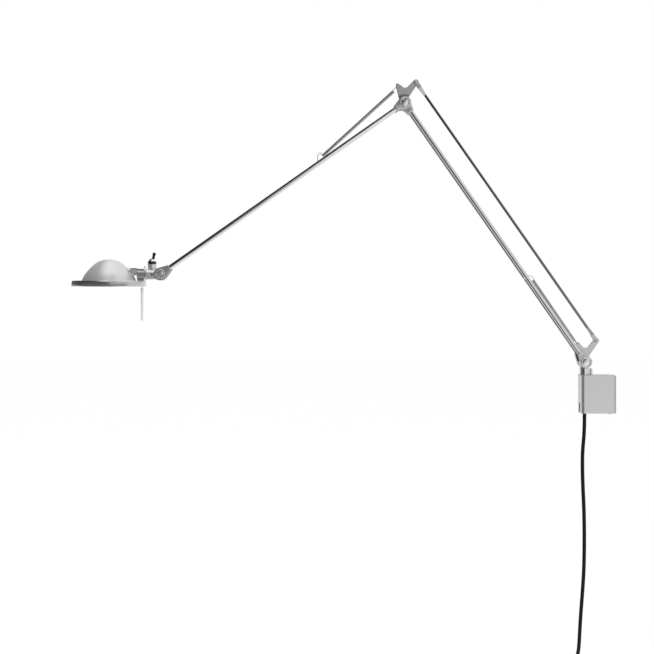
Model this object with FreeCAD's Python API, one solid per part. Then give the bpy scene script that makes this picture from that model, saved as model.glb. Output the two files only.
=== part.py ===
"""Articulating wall lamp: a box on the wall, a swivelling spring-balanced arm of double tubes,
and a shallow round head with a dome.  Millimetres; the origin is the middle of the back of
the wall plate, +X points into the wall, +Z is up, and the lamp reaches out along -X."""

import FreeCAD, Part
import math
import os

V = FreeCAD.Vector
ORIGIN = V(0, 0, 0)
AXIS_X, AXIS_Y, AXIS_Z = V(1, 0, 0), V(0, 1, 0), V(0, 0, 1)

# ---- Driving dimensions --------------------------------------------------------------------
# Wall box
BOX_DEPTH, BOX_WIDTH, BOX_HEIGHT = 50.0, 29.0, 56.0
BOX_WALL, BOX_TOP = 2.0, 3.0
BOX_EDGE = 4.5  # radius of the two upright front edges
PLATE, PLATE_ROUND = 3.0, 2.9  # the wall plate is rounded where its top meets the wall
SLOT_WIDTH, SLOT_TOP = 7.0, -13.5  # cord slot in the front and the bottom
HOLE_RISE, HOLE_RADIUS = 21.0, 2.25  # wall screws, above and below the middle
# Swivel
SWIVEL_X = -42.9
SPINDLE_RADIUS, SPINDLE_TOP = 7.25, 37.5
JOURNAL_RADIUS, JOURNAL_BOTTOM, BUSH_RADIUS = 4.0, -1.0, 4.9
RIB_BOTTOM, RIB_TOP = 3.0, 6.0  # shelf inside the box that holds the lower bush
RUNNING = 0.05  # radial clearance of what turns
STOP_X, STOP_RADIUS, STOP_TOP = -33.1, 2.05, 37.4
# Arms
BASE_Z = 46.5
LOWER_LENGTH, LOWER_ANGLE = 460.0, 124.9
UPPER_LENGTH, UPPER_ANGLE = 434.0, 215.07
TUBE_RADIUS, TUBE_BORE, TUBE_SIDE = 3.0, 2.2, 10.0
LEAD_RADIUS = 1.6
# Joints: distances from the lamp's middle plane
BRACKET_HALF = 2.5
WASHER_IN, WASHER_OUT, WASHER_RADIUS = 2.55, 3.2, 7.4
CHEEK_IN, CHEEK_OUT = 3.3, 12.8
LOWER_CHEEK_OUT, UPPER_CHEEK_IN = 7.5, 7.8  # at the elbow, one arm's cheeks lie outside the other's
HEAD_CHEEK_IN, HUB_HALF = 8.2, 7.9
CAP_IN, CAP_RADIUS, CAP_WALL, CAP_CROWN = 13.0, 6.5, 0.7, 1.0
# Joints: outlines
HUB_RADIUS, TAIL_HALF, TAIL_END, SOCKET_FROM = 8.6, 3.85, 17.0, 12.0
PIN_RADIUS = 3.0
# Horn brackets, measured from their pivot
HORN_HUB = 8.03
LEFT_HORN, LEFT_HORN_RADIUS = (-10.0, 26.6), 2.3
RIGHT_HORN, RIGHT_HORN_RADIUS = (17.2, 31.0), 3.8
BASE_VALLEY, ELBOW_VALLEY = 20.4, 22.7  # bottom of the round between the horns, above the pivot
ROD_RADIUS, ROD_PIN_RADIUS, ROD_PIN_SLACK = 1.5, 1.2, 0.3
FORK_LENGTH, FORK_SLOT, FORK_IN, FORK_OUT = 24.0, 10.0, 2.8, 4.2
FORK_HALF, FORK_TIP = 2.75, 1.7  # half width at the pin and at the rod
# Springs
SPRING_RADIUS, SPRING_WIRE, SPRING_PITCH = 2.05, 0.45, 2.5
LOWER_TURNS, UPPER_TURNS = 43, 56
BAIL_WIRE, BAIL_HALF, BAIL_FOOT = 0.7, 2.0, 150.5
LOWER_BAIL, UPPER_BAIL = (143.4, 7.5), (146.0, 4.9)  # distance along the arm, and above it
# Neck and switch
NECK_Z, NECK_RADIUS, NECK_END = 174.0, 8.0, -682.5
SPIGOT_RADIUS, SPIGOT_END = 3.5, -669.8
SWITCH_X, SWITCH_RADIUS, SWITCH_FROM, SWITCH_TO = -674.0, 5.7, 178.5, 189.0
NUT_RADIUS, NUT_TURN, NUT_TOP = 6.3, 9.0, 192.5
COLLAR_FOOT, COLLAR_HEAD, COLLAR_TOP = 5.3, 3.2, 195.8
LEVER_TILT, LEVER_PIVOT_Z, LEVER_POCKET = 11.5, 189.0, 2.6
LEVER_THIN, LEVER_THICK, LEVER_WAIST, LEVER_TIP = 0.95, 1.9, 8.0, 14.4
# Head
FLANGE_X, FLANGE_RADIUS, BLOCK_RIGHT, BLOCK_LEFT = -684.2, 9.3, -685.4, -695.8
HEAD_X, RIM_RADIUS, RIM_BOTTOM, RIM_TOP = -737.1, 54.0, 157.6, 164.6
RIM_WALL, RIM_WEB, WINDOW_RADIUS = 1.8, 1.8, 35.5
DOME_OUTLINE = ((39.8, 0.0), (35.0, 8.9), (27.6, 17.8), (20.1, 24.5), (12.7, 29.0), (0.0, 31.4))
DOME_WALL, REFLECTOR_GAP, REFLECTOR_WALL = 1.2, 2.0, 0.6
STEM_Z, STEM_RADIUS, NOTCH_RADIUS = 177.8, 5.25, 6.2
STEM_END, HOLDER_END, HOLDER_Z = -713.0, -724.0, 176.0
BULB_END, BULB_RADIUS = -762.0, 6.5
LENS_RADIUS, LENS_BOTTOM, LENS_TOP = 37.0, 164.7, 166.7
HANDLE_X, HANDLE_BOTTOM, HANDLE_RADIUS, HANDLE_NECK = -688.6, 106.9, 1.3, 1.05
# Cord: the free stretch below the box, then the put-away coil, the tail and the plug
CORD_RADIUS = 2.75
CORD_ROUTE = (
    (-42.8, 0.0, -28.0), (-42.8, 0.0, -55.0), (-45.6, 0.4, -83.0), (-45.9, 0.0, -110.0),
    (-45.1, -0.5, -140.0), (-43.6, 0.0, -168.0), (-42.9, 0.6, -200.0), (-43.1, 0.2, -231.0),
    (-43.9, -0.3, -260.0), (-45.6, 0.0, -288.0), (-47.7, 0.4, -315.0), (-49.6, 0.3, -345.0),
    (-50.4, 2.1, -369.5),
)
COIL_X, COIL_Y, COIL_Z = -53.7, 8.0, -434.0
COIL_OUTER, COIL_PITCH, LAYER_TURNS = 43.0, 6.0, 10.0 / 3.0
CLIMB_RADIUS = 21.9  # at the middle of the half turn that changes layer
COIL_START = -60.0  # degrees; the cord comes in at the upper right
ENTRY_RUN, CORD_TAIL = 17.0, 32.0
TIE_ANGLE, TIE_WIDTH, TIE_WALL = -120.0, 8.0, 1.2
PLUG_LENGTH, PLUG_WIDTH, PLUG_NECK, PLUG_THICK = 36.0, 35.3, 22.0, 13.7
PLUG_PIN_RADIUS, PLUG_PIN_LENGTH, PLUG_PIN_PITCH = 2.0, 19.0, 18.6


# ---- Shapes --------------------------------------------------------------------------------
def direction(angle):
    return V(math.cos(math.radians(angle)), 0, math.sin(math.radians(angle)))


PIVOT_BASE = V(SWIVEL_X, 0, BASE_Z)
PIVOT_ELBOW = PIVOT_BASE + direction(LOWER_ANGLE) * LOWER_LENGTH
PIVOT_HEAD = PIVOT_ELBOW + direction(UPPER_ANGLE) * UPPER_LENGTH


def in_arm(shape, pivot, angle):
    """Moves a shape from an arm's own frame, where +X runs along the arm from the pivot and
    -Z is the side of its spring, to its place on the lamp."""
    placed = shape.copy()
    placed.rotate(ORIGIN, AXIS_Y, -angle)
    placed.translate(pivot)
    return placed


def moved(shape, place):
    placed = shape.copy()
    placed.translate(place)
    return placed


def both_sides(shape):
    return [shape, shape.mirror(ORIGIN, AXIS_Y)]


def cylinder(start, end, radius):
    return Part.makeCylinder(radius, (end - start).Length, start, end - start)


def cone(start, end, radius, end_radius):
    return Part.makeCone(radius, end_radius, (end - start).Length, start, end - start)


def block(x, y, z):
    """A box between pairs of limits."""
    return Part.makeBox(x[1] - x[0], y[1] - y[0], z[1] - z[0], V(x[0], y[0], z[0]))


def ring(start, end, radius, hole):
    return cylinder(start, end, radius).cut(cylinder(start, end, hole))


def outline(start, *steps):
    """A closed wire in the XZ plane. A step of one point is a line, and of two an arc."""
    edges, here = [], V(start[0], 0, start[1])
    for step in steps + ((start,),):
        points = [V(x, 0, z) for x, z in step]
        if (points[-1] - here).Length > 1e-6:
            edges.append(
                Part.Arc(here, *points).toShape() if len(points) == 2
                else Part.LineSegment(here, points[0]).toShape()
            )
        here = points[-1]
    return Part.Wire(edges)


def crown(radius, low, high):
    """The step over a round top, from its edge to its middle, with its centre on the axis."""
    ball = (radius**2 + (high - low) ** 2) / (2 * (high - low))
    half = math.asin(radius / ball) / 2
    return (ball * math.sin(half), high - ball * (1 - math.cos(half))), (0.0, high)


def plate(wire, low, high):
    """The area inside a wire of the XZ plane, from y = low to y = high."""
    return moved(Part.Face(wire).extrude(V(0, high - low, 0)), V(0, low, 0))


def turned(wire, place=ORIGIN, axis=AXIS_Z):
    """A solid of revolution: the wire's x is the radius and its z the distance along the axis."""
    solid = Part.Face(wire).revolve(ORIGIN, AXIS_Z, 360)
    solid.Placement = FreeCAD.Placement(place, FreeCAD.Rotation(AXIS_Z, axis))
    return solid


def rounded(shape, radius, wanted):
    """The shape with a fillet on each edge whose middle passes the test."""
    edges = [e for e in shape.Edges if wanted(e.CenterOfMass)]
    return shape.makeFillet(radius, edges)


def rods(points, radius):
    """Round wire bent through the points, with balls at its bends."""
    wire = cylinder(points[0], points[1], radius)
    for here, there in zip(points[1:], points[2:]):
        wire = wire.fuse([Part.makeSphere(radius, here), cylinder(here, there, radius)])
    return wire


def arc_from(start, tangent, end):
    """The arc that leaves start along the tangent and arrives at end."""
    chord = (end - start).normalize()
    cosine = max(-1.0, min(1.0, tangent.dot(chord)))
    if cosine > 1 - 1e-9:
        return Part.LineSegment(start, end).toShape()
    middle = (tangent + chord).normalize()
    reach = (end - start).Length / 2 / math.cos(math.acos(cosine) / 2)
    return Part.Arc(start, start + middle * reach, end).toShape()


def biarc(start, tangent, end, end_tangent):
    """Two arcs that join two points smoothly, with these tangents at the ends."""
    gap, both = end - start, tangent + end_tangent
    spread = 2 * (1 - tangent.dot(end_tangent))
    if spread < 1e-9:
        return [Part.LineSegment(start, end).toShape()]
    reach = (-gap.dot(both) + math.sqrt(gap.dot(both) ** 2 + spread * gap.dot(gap))) / spread
    join = (start + end + (tangent - end_tangent) * reach) * 0.5
    back = arc_from(end, end_tangent * -1, join)
    return [arc_from(start, tangent, join), back]


def smooth_wire(nodes):
    """A wire of biarcs through (point, tangent) nodes."""
    edges = []
    for (start, tangent), (end, end_tangent) in zip(nodes, nodes[1:]):
        edges += biarc(start, tangent, end, end_tangent)
    return Part.Wire(edges)


def swept(wire, start, tangent, radius):
    """A round tube along a wire."""
    circle = Part.Wire(Part.makeCircle(radius, start, tangent))
    return wire.makePipeShell([circle], True, False)


def least_gap(wire, radius):
    """The least gap between a tube's turns, measured on points along its middle line."""
    step = radius
    points = [tuple(p) for p in wire.discretize(Distance=step)]
    skip, least = int(10 * radius / step), 1e9
    for i, a in enumerate(points):
        for b in points[i + skip:]:
            if abs(a[0] - b[0]) < 5 * radius:
                least = min(least, math.dist(a, b))
    return least - 2 * radius


def save(name, *shapes):
    """Writes one node, made of one or more separate solids."""
    solids = [s for shape in shapes for s in shape.Solids]
    (solids[0] if len(solids) == 1 else Part.makeCompound(solids)).exportStep(f"parts/{name}.step")
    print(f"{name}: {len(solids)} solid(s), {sum(s.Volume for s in solids):.0f} mm3")


# ---- Wall box ------------------------------------------------------------------------------
def footprint(front, back, inset):
    """The box's plan between two depths, with round upright front edges."""
    half = BOX_WIDTH / 2 - inset
    body = block((front, back), (-half, half), (-BOX_HEIGHT / 2, BOX_HEIGHT / 2))
    edge = max(BOX_EDGE - inset, 1.0)
    return rounded(body, edge, lambda p: abs(p.x - front) < 1e-3 and abs(p.z) < 1e-3)


def wall_plate():
    half_y, half_z = BOX_WIDTH / 2, BOX_HEIGHT / 2
    body = block((-PLATE, 0), (-half_y, half_y), (-half_z, half_z))
    body = rounded(body, 2.5, lambda p: abs(p.y) > half_y - 1e-3 and abs(p.z) > half_z - 1e-3)
    start, ease = half_z - PLATE_ROUND, PLATE_ROUND * (1 - math.sqrt(0.5))
    side = outline((-PLATE, -half_z), ((0, -half_z),), ((0, start),),
                   ((-ease, half_z - ease), (-PLATE_ROUND, half_z)), ((-PLATE, half_z),))
    body = body.common(plate(side, -half_y, half_y))
    for side in both_sides(block((-13, -PLATE), (8.2, 12.2), (-25.8, -18.0))):
        body = body.fuse(side)
    for z in (-HOLE_RISE, HOLE_RISE):
        body = body.cut(cylinder(V(-PLATE, 0, z), V(0, 0, z), HOLE_RADIUS))
    for hole in both_sides(cylinder(V(-8, 10.2, -25.8), V(-8, 10.2, -19), 1.0)):
        body = body.cut(hole)
    return body


def box_shell():
    half_z = BOX_HEIGHT / 2
    body = footprint(-BOX_DEPTH, -PLATE, 0.0)
    body = rounded(body, 1.2, lambda p: p.z > half_z - 1e-3 and p.x < -PLATE - 1)
    hollow = footprint(-BOX_DEPTH + BOX_WALL, -PLATE, BOX_WALL)
    hollow = hollow.common(block((-60, 0), (-20, 20), (-half_z + BOX_WALL, half_z - BOX_TOP)))
    body = body.cut(hollow)
    shelf = block((-BOX_DEPTH + 1, -33), (-BOX_WIDTH / 2 + 1, BOX_WIDTH / 2 - 1), (RIB_BOTTOM, RIB_TOP))
    body = body.fuse(shelf.common(footprint(-BOX_DEPTH, -PLATE, 1.0)))
    body = body.cut(cylinder(V(SWIVEL_X, 0, 0), V(SWIVEL_X, 0, half_z + 1), BUSH_RADIUS))
    body = body.cut(cylinder(V(STOP_X, 0, half_z - BOX_TOP), V(STOP_X, 0, half_z), STOP_RADIUS))
    half = SLOT_WIDTH / 2
    slot = block((-BOX_DEPTH - 1, -42.8), (-half, half), (-half_z - 1, SLOT_TOP))
    slot = slot.fuse(cylinder(V(-42.8, 0, -half_z - 1), V(-42.8, 0, -half_z + BOX_WALL + 1), half))
    body = body.cut(slot)
    for hole in both_sides(cylinder(V(-8, 10.2, -half_z), V(-8, 10.2, -25.5), 1.3)):
        body = body.cut(hole)
    return body


def bush(bottom, top):
    return ring(V(SWIVEL_X, 0, bottom), V(SWIVEL_X, 0, top), BUSH_RADIUS, JOURNAL_RADIUS + RUNNING)


def box_lead(exit_z, turn):
    """A lead that leaves upright below or above the swivel axis and turns towards the wall."""
    radius, x = 5.0, SWIVEL_X
    level = exit_z + turn * (radius + 1.5)
    arc = Part.Arc(
        V(x, 0, level - turn * radius),
        V(x + radius * (1 - math.sqrt(0.5)), 0, level - turn * radius * (1 - math.sqrt(0.5))),
        V(x + radius, 0, level),
    )
    wire = Part.Wire([
        Part.LineSegment(V(x, 0, exit_z), V(x, 0, level - turn * radius)).toShape(),
        arc.toShape(),
        Part.LineSegment(V(x + radius, 0, level), V(-14, 0, level)).toShape(),
    ])
    return swept(wire, V(x, 0, exit_z), V(0, 0, turn), LEAD_RADIUS)


def save_wall_box():
    half_z = BOX_HEIGHT / 2
    save("wall_plate", wall_plate())
    save("box_shell", box_shell())
    screw = cylinder(V(-8, 10.2, -25.8), V(-8, 10.2, -19.5), 1.0)
    screw = screw.fuse(cylinder(V(-8, 10.2, -half_z - 1.2), V(-8, 10.2, -half_z), 2.3))
    screw = screw.fuse(cylinder(V(-8, 10.2, -half_z), V(-8, 10.2, -25.8), 1.0))
    save("box_screws", *both_sides(screw.removeSplitter()))
    save("spindle_bushes", bush(half_z - 6.0, half_z), bush(RIB_BOTTOM, RIB_TOP))
    peg = outline((0, half_z - BOX_TOP), ((STOP_RADIUS, half_z - BOX_TOP),),
                  ((STOP_RADIUS, STOP_TOP - 1.6),), crown(STOP_RADIUS, STOP_TOP - 1.6, STOP_TOP))
    save("stop_pin", turned(peg, V(STOP_X, 0, 0)))
    terminals = block((-14, -PLATE), (-10, 10), (-16, 12))
    for screw_y in (-5.0, 5.0):
        for z in (-10.0, 6.0):
            terminals = terminals.cut(cylinder(V(-14, screw_y, z), V(-12.5, screw_y, z), 1.8))
    save("terminal_block", terminals)
    save("box_leads", box_lead(-22.0, 1), box_lead(JOURNAL_BOTTOM + 3.0, -1))
    save("cord_grommet", cylinder(V(-42.8, 0, -half_z), V(-42.8, 0, -22), SLOT_WIDTH / 2 - 0.1))


# ---- Cord ----------------------------------------------------------------------------------
def route_wire(points):
    """Straight runs joined by the largest tangent arcs that the runs allow."""
    edges, here = [], points[0]
    radii = []
    for before, corner, after in zip(points, points[1:], points[2:]):
        inward, outward = corner - before, after - corner
        cut = 0.45 * min(inward.Length, outward.Length)
        inward.normalize()
        outward.normalize()
        start, end = corner - inward * cut, corner + outward * cut
        edges += [Part.LineSegment(here, start).toShape(), arc_from(start, inward, end)]
        radii.append(cut / math.tan(math.acos(inward.dot(outward)) / 2))
        here = end
    edges.append(Part.LineSegment(here, points[-1]).toShape())
    print("cord radii:", [round(r) for r in radii], "mm, least", round(min(radii), 1))
    return Part.Wire(edges)


def coil_node(turn, radius, x, radius_step, x_step):
    """A point of the coil and its tangent; turn is the angle in radians from the coil's +Y side
    downwards, and the steps are the changes per radian."""
    outward, onward = V(0, math.cos(turn), -math.sin(turn)), V(0, -math.sin(turn), -math.cos(turn))
    point = V(COIL_X + x, COIL_Y, COIL_Z) + outward * radius
    return point, (outward * radius_step + onward * radius + V(x_step, 0, 0)).normalize()


def coil_nodes():
    """The coil: a layer spirals in, the next half turn changes layer, and a layer spirals out."""
    start, layer = math.radians(COIL_START), LAYER_TURNS * 2 * math.pi
    step, half = COIL_PITCH / (2 * math.pi), COIL_PITCH / 2
    inner = COIL_OUTER - LAYER_TURNS * COIL_PITCH
    halves = math.ceil(LAYER_TURNS * 2)
    angles = [layer * i / halves for i in range(halves + 1)]
    first = [coil_node(start + a, COIL_OUTER - step * a, half, -step, 0) for a in angles]
    middle = start + layer + math.pi / 2
    climb = [coil_node(middle, CLIMB_RADIUS, 0, 0, -1.5 * COIL_PITCH / math.pi)]
    begin = start + layer + math.pi
    second = [coil_node(begin + a, inner + step * a, -half, step, 0) for a in angles]
    run = 2 * CORD_RADIUS
    ends = [(p - t * side, t) for (p, t), side in ((first[0], run), (second[-1], -run))]
    return [ends[0]] + first + climb + second + [ends[1]]


def coil_tie():
    """A band round the coil's turns."""
    inner = COIL_OUTER - LAYER_TURNS * COIL_PITCH - CORD_RADIUS - 0.8
    outer = COIL_OUTER + CORD_RADIUS - 0.6
    deep = COIL_PITCH / 2 + CORD_RADIUS + 0.5
    wide = TIE_WIDTH / 2
    band = block((-deep - TIE_WALL, deep + TIE_WALL), (inner - TIE_WALL, outer + TIE_WALL), (-wide, wide))
    band = rounded(band, 1.5, lambda p: abs(abs(p.x) - deep - TIE_WALL) < 1e-3 and abs(p.z) < 1e-3)
    band = band.cut(block((-deep, deep), (inner, outer), (-wide, wide)))
    band.rotate(ORIGIN, AXIS_X, -TIE_ANGLE)
    return moved(band, V(COIL_X, COIL_Y, COIL_Z))


def plug(end, onward):
    """The plug's body and its two pins, from the cord's end onward."""
    half, neck = PLUG_WIDTH / 2, PLUG_NECK / 2
    shape = outline((-neck, 0), ((neck, 0),), ((half - 1, 13), (half, PLUG_LENGTH - 9)),
                    ((half, PLUG_LENGTH),), ((-half, PLUG_LENGTH),), ((-half, PLUG_LENGTH - 9),),
                    ((-half + 1, 13), (-neck, 0)))
    body = plate(shape, -PLUG_THICK / 2, PLUG_THICK / 2)
    body = rounded(body, 2.0, lambda p: abs(abs(p.y) - PLUG_THICK / 2) < 1e-3)
    pins = []
    for x in (-PLUG_PIN_PITCH / 2, PLUG_PIN_PITCH / 2):
        tip = V(x, 0, PLUG_LENGTH + PLUG_PIN_LENGTH)
        pin = cylinder(V(x, 0, PLUG_LENGTH), tip, PLUG_PIN_RADIUS)
        pins.append(rounded(pin, 0.8, lambda p: p.z > tip.z - 1e-3))
    place = FreeCAD.Placement(end, FreeCAD.Rotation(AXIS_Z, onward))
    for piece in [body] + pins:
        piece.Placement = place
    return body, pins


def save_cord():
    nodes = coil_nodes()
    (entry, entry_way), (end, end_way) = nodes[0], nodes[-1]
    route = [V(*p) for p in CORD_ROUTE] + [entry - entry_way * ENTRY_RUN, entry]
    wire = route_wire(route)
    tube = swept(wire, route[0], route[1] - route[0], CORD_RADIUS)
    section = math.pi * CORD_RADIUS**2
    print(f"cord tube: {tube.Volume / section:.1f} mm by volume, {wire.Length:.1f} mm by length")
    save("cord_hang", tube)
    coil_wire = smooth_wire(nodes)
    coil = swept(coil_wire, entry, entry_way, CORD_RADIUS)
    print(f"cord coil: {coil.Volume / section:.1f} mm by volume, {coil_wire.Length:.1f} mm by length, "
          f"least gap {least_gap(coil_wire, CORD_RADIUS):.2f} mm")
    save("cord_coil", coil)
    save("coil_tie", coil_tie())
    tail_end = end + end_way * CORD_TAIL
    save("cord_tail", cylinder(end, tail_end, CORD_RADIUS))
    body, pins = plug(tail_end, end_way)
    save("plug_body", body)
    save("plug_pins", *pins)
    print(f"cord: {wire.Length + coil_wire.Length + CORD_TAIL:.0f} mm in all")


# ---- Joints --------------------------------------------------------------------------------
def cheek(inner, outer, taper_end, bore):
    """One end fitting on the +Y side, in the arm's frame: a round hub that tapers to a socket."""
    corner = math.hypot(taper_end, TAIL_HALF)
    turn = math.atan2(TAIL_HALF, taper_end) + math.acos(HUB_RADIUS / corner)
    touch_x, touch_z = HUB_RADIUS * math.cos(turn), HUB_RADIUS * math.sin(turn)
    shape = outline((touch_x, touch_z), ((taper_end, TAIL_HALF),), ((TAIL_END, TAIL_HALF),),
                    ((TAIL_END, -TAIL_HALF),), ((taper_end, -TAIL_HALF),), ((touch_x, -touch_z),),
                    ((-HUB_RADIUS, 0), (touch_x, touch_z)))
    body = rounded(plate(shape, inner, outer), 0.6, lambda p: p.y > outer - 1e-3)
    socket_start, socket_end = V(SOCKET_FROM, TUBE_SIDE, 0), V(TAIL_END, TUBE_SIDE, 0)
    body = body.fuse(cylinder(socket_start, socket_end, TAIL_HALF))
    if outer < TUBE_SIDE:
        body = body.fuse(block((SOCKET_FROM, TAIL_END), (inner, TUBE_SIDE), (-TAIL_HALF, TAIL_HALF)))
    body = body.cut(cylinder(socket_start, socket_end, TUBE_RADIUS))
    return body.cut(cylinder(V(0, inner, 0), V(0, outer, 0), bore))


def cheeks(pivot, angle, *sizes):
    return [in_arm(c, pivot, angle) for c in both_sides(cheek(*sizes))]


def pivot_pin(pivot):
    return cylinder(pivot - AXIS_Y * CAP_IN, pivot + AXIS_Y * CAP_IN, PIN_RADIUS)


def pivot_caps(pivot):
    """The two domed caps over a pivot pin's ends."""
    shape = outline((0, 0), ((CAP_RADIUS, 0),), ((CAP_RADIUS, CAP_WALL),),
                    crown(CAP_RADIUS, CAP_WALL, CAP_WALL + CAP_CROWN))
    cap = turned(shape, V(0, CAP_IN, 0), AXIS_Y)
    return [moved(c, pivot) for c in both_sides(cap)]


def washers(pivot):
    washer = ring(V(0, WASHER_IN, 0), V(0, WASHER_OUT, 0), WASHER_RADIUS, PIN_RADIUS)
    return [moved(w, pivot) for w in both_sides(washer)]


def horn_bracket(valley):
    """The two-horned casting of a pivot: the spring hangs on the short horn, the link rod on the
    long one, with a round valley between them."""
    left_x, left_z = LEFT_HORN
    right_x, right_z = RIGHT_HORN
    small, large = LEFT_HORN_RADIUS, RIGHT_HORN_RADIUS
    shape = outline(
        (-7.0, 3.9),
        ((left_x - small * 0.98, left_z - small * 0.17),),
        ((left_x - small * 0.3, left_z + small * 0.95), (left_x + small * 0.5, left_z + small * 0.87)),
        ((-3.8, valley + 2.7),),
        ((1.2, valley), (6.2, valley + 2.8)),
        ((right_x - large * 0.72, right_z + large * 0.69),),
        ((right_x + large * 0.66, right_z + large * 0.75), (right_x + large * 0.8, right_z - large * 0.6)),
        ((5.0, 6.3),),
        ((0.0, -HORN_HUB), (-7.0, 3.9)),
    )
    body = rounded(plate(shape, -BRACKET_HALF, BRACKET_HALF), 0.5,
                   lambda p: abs(abs(p.y) - BRACKET_HALF) < 1e-3)
    for x, z, radius in ((0, 0, PIN_RADIUS), (right_x, right_z, ROD_PIN_RADIUS + RUNNING),
                         (left_x, left_z, 0.9)):
        body = body.cut(cylinder(V(x, -BRACKET_HALF, z), V(x, BRACKET_HALF, z), radius))
    return body


def save_swivel():
    top = BOX_HEIGHT / 2 + 0.2
    axis = [V(SWIVEL_X, 0, z) for z in (JOURNAL_BOTTOM, top, SPINDLE_TOP)]
    spindle = cylinder(axis[0], axis[1], JOURNAL_RADIUS).fuse(cylinder(axis[1], axis[2], SPINDLE_RADIUS))
    spindle = rounded(spindle, 0.6, lambda p: p.z > SPINDLE_TOP - 1e-3)
    spindle = spindle.cut(cylinder(axis[0], axis[2], LEAD_RADIUS + 0.5))
    spindle = spindle.cut(cylinder(axis[2] - AXIS_Z * 8, axis[2], PIN_RADIUS))
    save("spindle", spindle)
    clip = ring(axis[0], axis[0] + AXIS_Z * 1.2, BUSH_RADIUS, JOURNAL_RADIUS)
    save("spindle_clip", moved(clip, V(0, 0, 2.3)))
    foot = block((-6, 6), (-BRACKET_HALF, BRACKET_HALF), (SPINDLE_TOP - BASE_Z, -4))
    seat = SPINDLE_TOP - BASE_Z
    foot = foot.fuse(cylinder(V(0, 0, seat - 8), V(0, 0, seat + 1), PIN_RADIUS))
    foot = foot.cut(cylinder(V(0, -9, 0), V(0, 9, 0), PIN_RADIUS))
    save("base_bracket", moved(horn_bracket(BASE_VALLEY).fuse(foot), PIVOT_BASE))
    save("base_pin", pivot_pin(PIVOT_BASE))
    save("base_caps", *pivot_caps(PIVOT_BASE))
    save("base_washers", *washers(PIVOT_BASE))


# ---- Arms ----------------------------------------------------------------------------------
def arm_tube(length):
    """One tube on the +Y side, in the arm's frame, with its ends in the sockets."""
    return ring(V(SOCKET_FROM, TUBE_SIDE, 0), V(length - SOCKET_FROM, TUBE_SIDE, 0), TUBE_RADIUS, TUBE_BORE)


def arm_lead(length):
    inset = SOCKET_FROM + 1
    return cylinder(V(inset, -TUBE_SIDE, 0), V(length - inset, -TUBE_SIDE, 0), LEAD_RADIUS)


def spring_bail(place):
    """The wire that holds a spring's outer end, on a collar round each tube, in the arm's frame."""
    reach, above = place
    foot, shoulder = TUBE_SIDE - 1.2, V(reach, BAIL_HALF, -above)
    bail = rods([V(BAIL_FOOT, foot, -TUBE_RADIUS), shoulder, V(reach, -BAIL_HALF, -above),
                 V(BAIL_FOOT, -foot, -TUBE_RADIUS)], BAIL_WIRE)
    for side in (-TUBE_SIDE, TUBE_SIDE):
        start, end = V(BAIL_FOOT - 2, side, 0), V(BAIL_FOOT + 2, side, 0)
        bail = bail.fuse(cylinder(start, end, TUBE_RADIUS + 0.7)).cut(cylinder(start, end, TUBE_RADIUS))
    return bail


def spring(start, end, lead_in, turns):
    """An unbroken wire from start to end: a straight end, the curls, and a straight end."""
    span, wire = (end - start).Length, 2 * SPRING_WIRE
    nodes = [(V(0, 0, 0), AXIS_X), (V(wire, 0, 0), AXIS_X)]
    for i in range(2 * turns + 1):
        turn, along = math.pi * i, lead_in + SPRING_PITCH * i / 2
        nodes.append((
            V(along, SPRING_RADIUS * math.cos(turn), SPRING_RADIUS * math.sin(turn)),
            V(SPRING_PITCH / (2 * math.pi), -SPRING_RADIUS * math.sin(turn),
              SPRING_RADIUS * math.cos(turn)).normalize(),
        ))
    nodes += [(V(span - wire, 0, 0), AXIS_X), (V(span, 0, 0), AXIS_X)]
    path = smooth_wire(nodes)
    coil = swept(path, nodes[0][0], AXIS_X, SPRING_WIRE)
    print(f"spring: {turns} curls, span {span:.1f} mm, least gap {least_gap(path, SPRING_WIRE):.2f} mm, "
          f"volume over section {coil.Volume / (math.pi * SPRING_WIRE**2) / path.Length:.3f} of its length")
    coil.Placement = FreeCAD.Placement(start, FreeCAD.Rotation(AXIS_X, end - start))
    return coil


def arm_spring(pivot, angle, bail, horn_gap, lead_in, turns):
    """An arm's spring, from its bracket's short horn to its bail."""
    horn = pivot + V(LEFT_HORN[0], 0, LEFT_HORN[1])
    above = V(math.sin(math.radians(angle)), 0, -math.cos(math.radians(angle)))
    hook = pivot + direction(angle) * bail[0] + above * bail[1]
    way = (hook - horn).normalize()
    return spring(horn + way * (LEFT_HORN_RADIUS + horn_gap), hook - way * (BAIL_WIRE + 0.1), lead_in, turns)


def stop_buffer():
    """The rubber strip along the foot's lower side, in the arm's frame."""
    strip = outline((6.2, 7.15), ((17.0, 3.89),), ((17.7, 6.3),), ((17.3, 6.7), (16.7, 6.7)),
                    ((7.5, 9.5),), ((7.0, 9.5), (6.8, 9.1)))
    return plate(strip, -12.0, -4.0)


def save_lower_arm():
    place = (PIVOT_BASE, LOWER_ANGLE)
    tube = arm_tube(LOWER_LENGTH)
    for name, side in zip(("lower_tube_far", "lower_tube_near"), both_sides(tube)):
        save(name, in_arm(side, *place))
    save("lower_lead", in_arm(arm_lead(LOWER_LENGTH), *place))
    running = PIN_RADIUS + RUNNING
    save("foot_cheeks", *cheeks(*place, CHEEK_IN, CHEEK_OUT, TAIL_END, running))
    save("lower_elbow_cheeks", *cheeks(PIVOT_ELBOW, LOWER_ANGLE + 180, CHEEK_IN, LOWER_CHEEK_OUT,
                                       SOCKET_FROM, running))
    save("lower_spring_bail", in_arm(spring_bail(LOWER_BAIL), *place))
    save("stop_buffer", in_arm(stop_buffer(), *place))
    save("lower_spring", arm_spring(*place, LOWER_BAIL, 0.1, 2.6, LOWER_TURNS))


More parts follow.
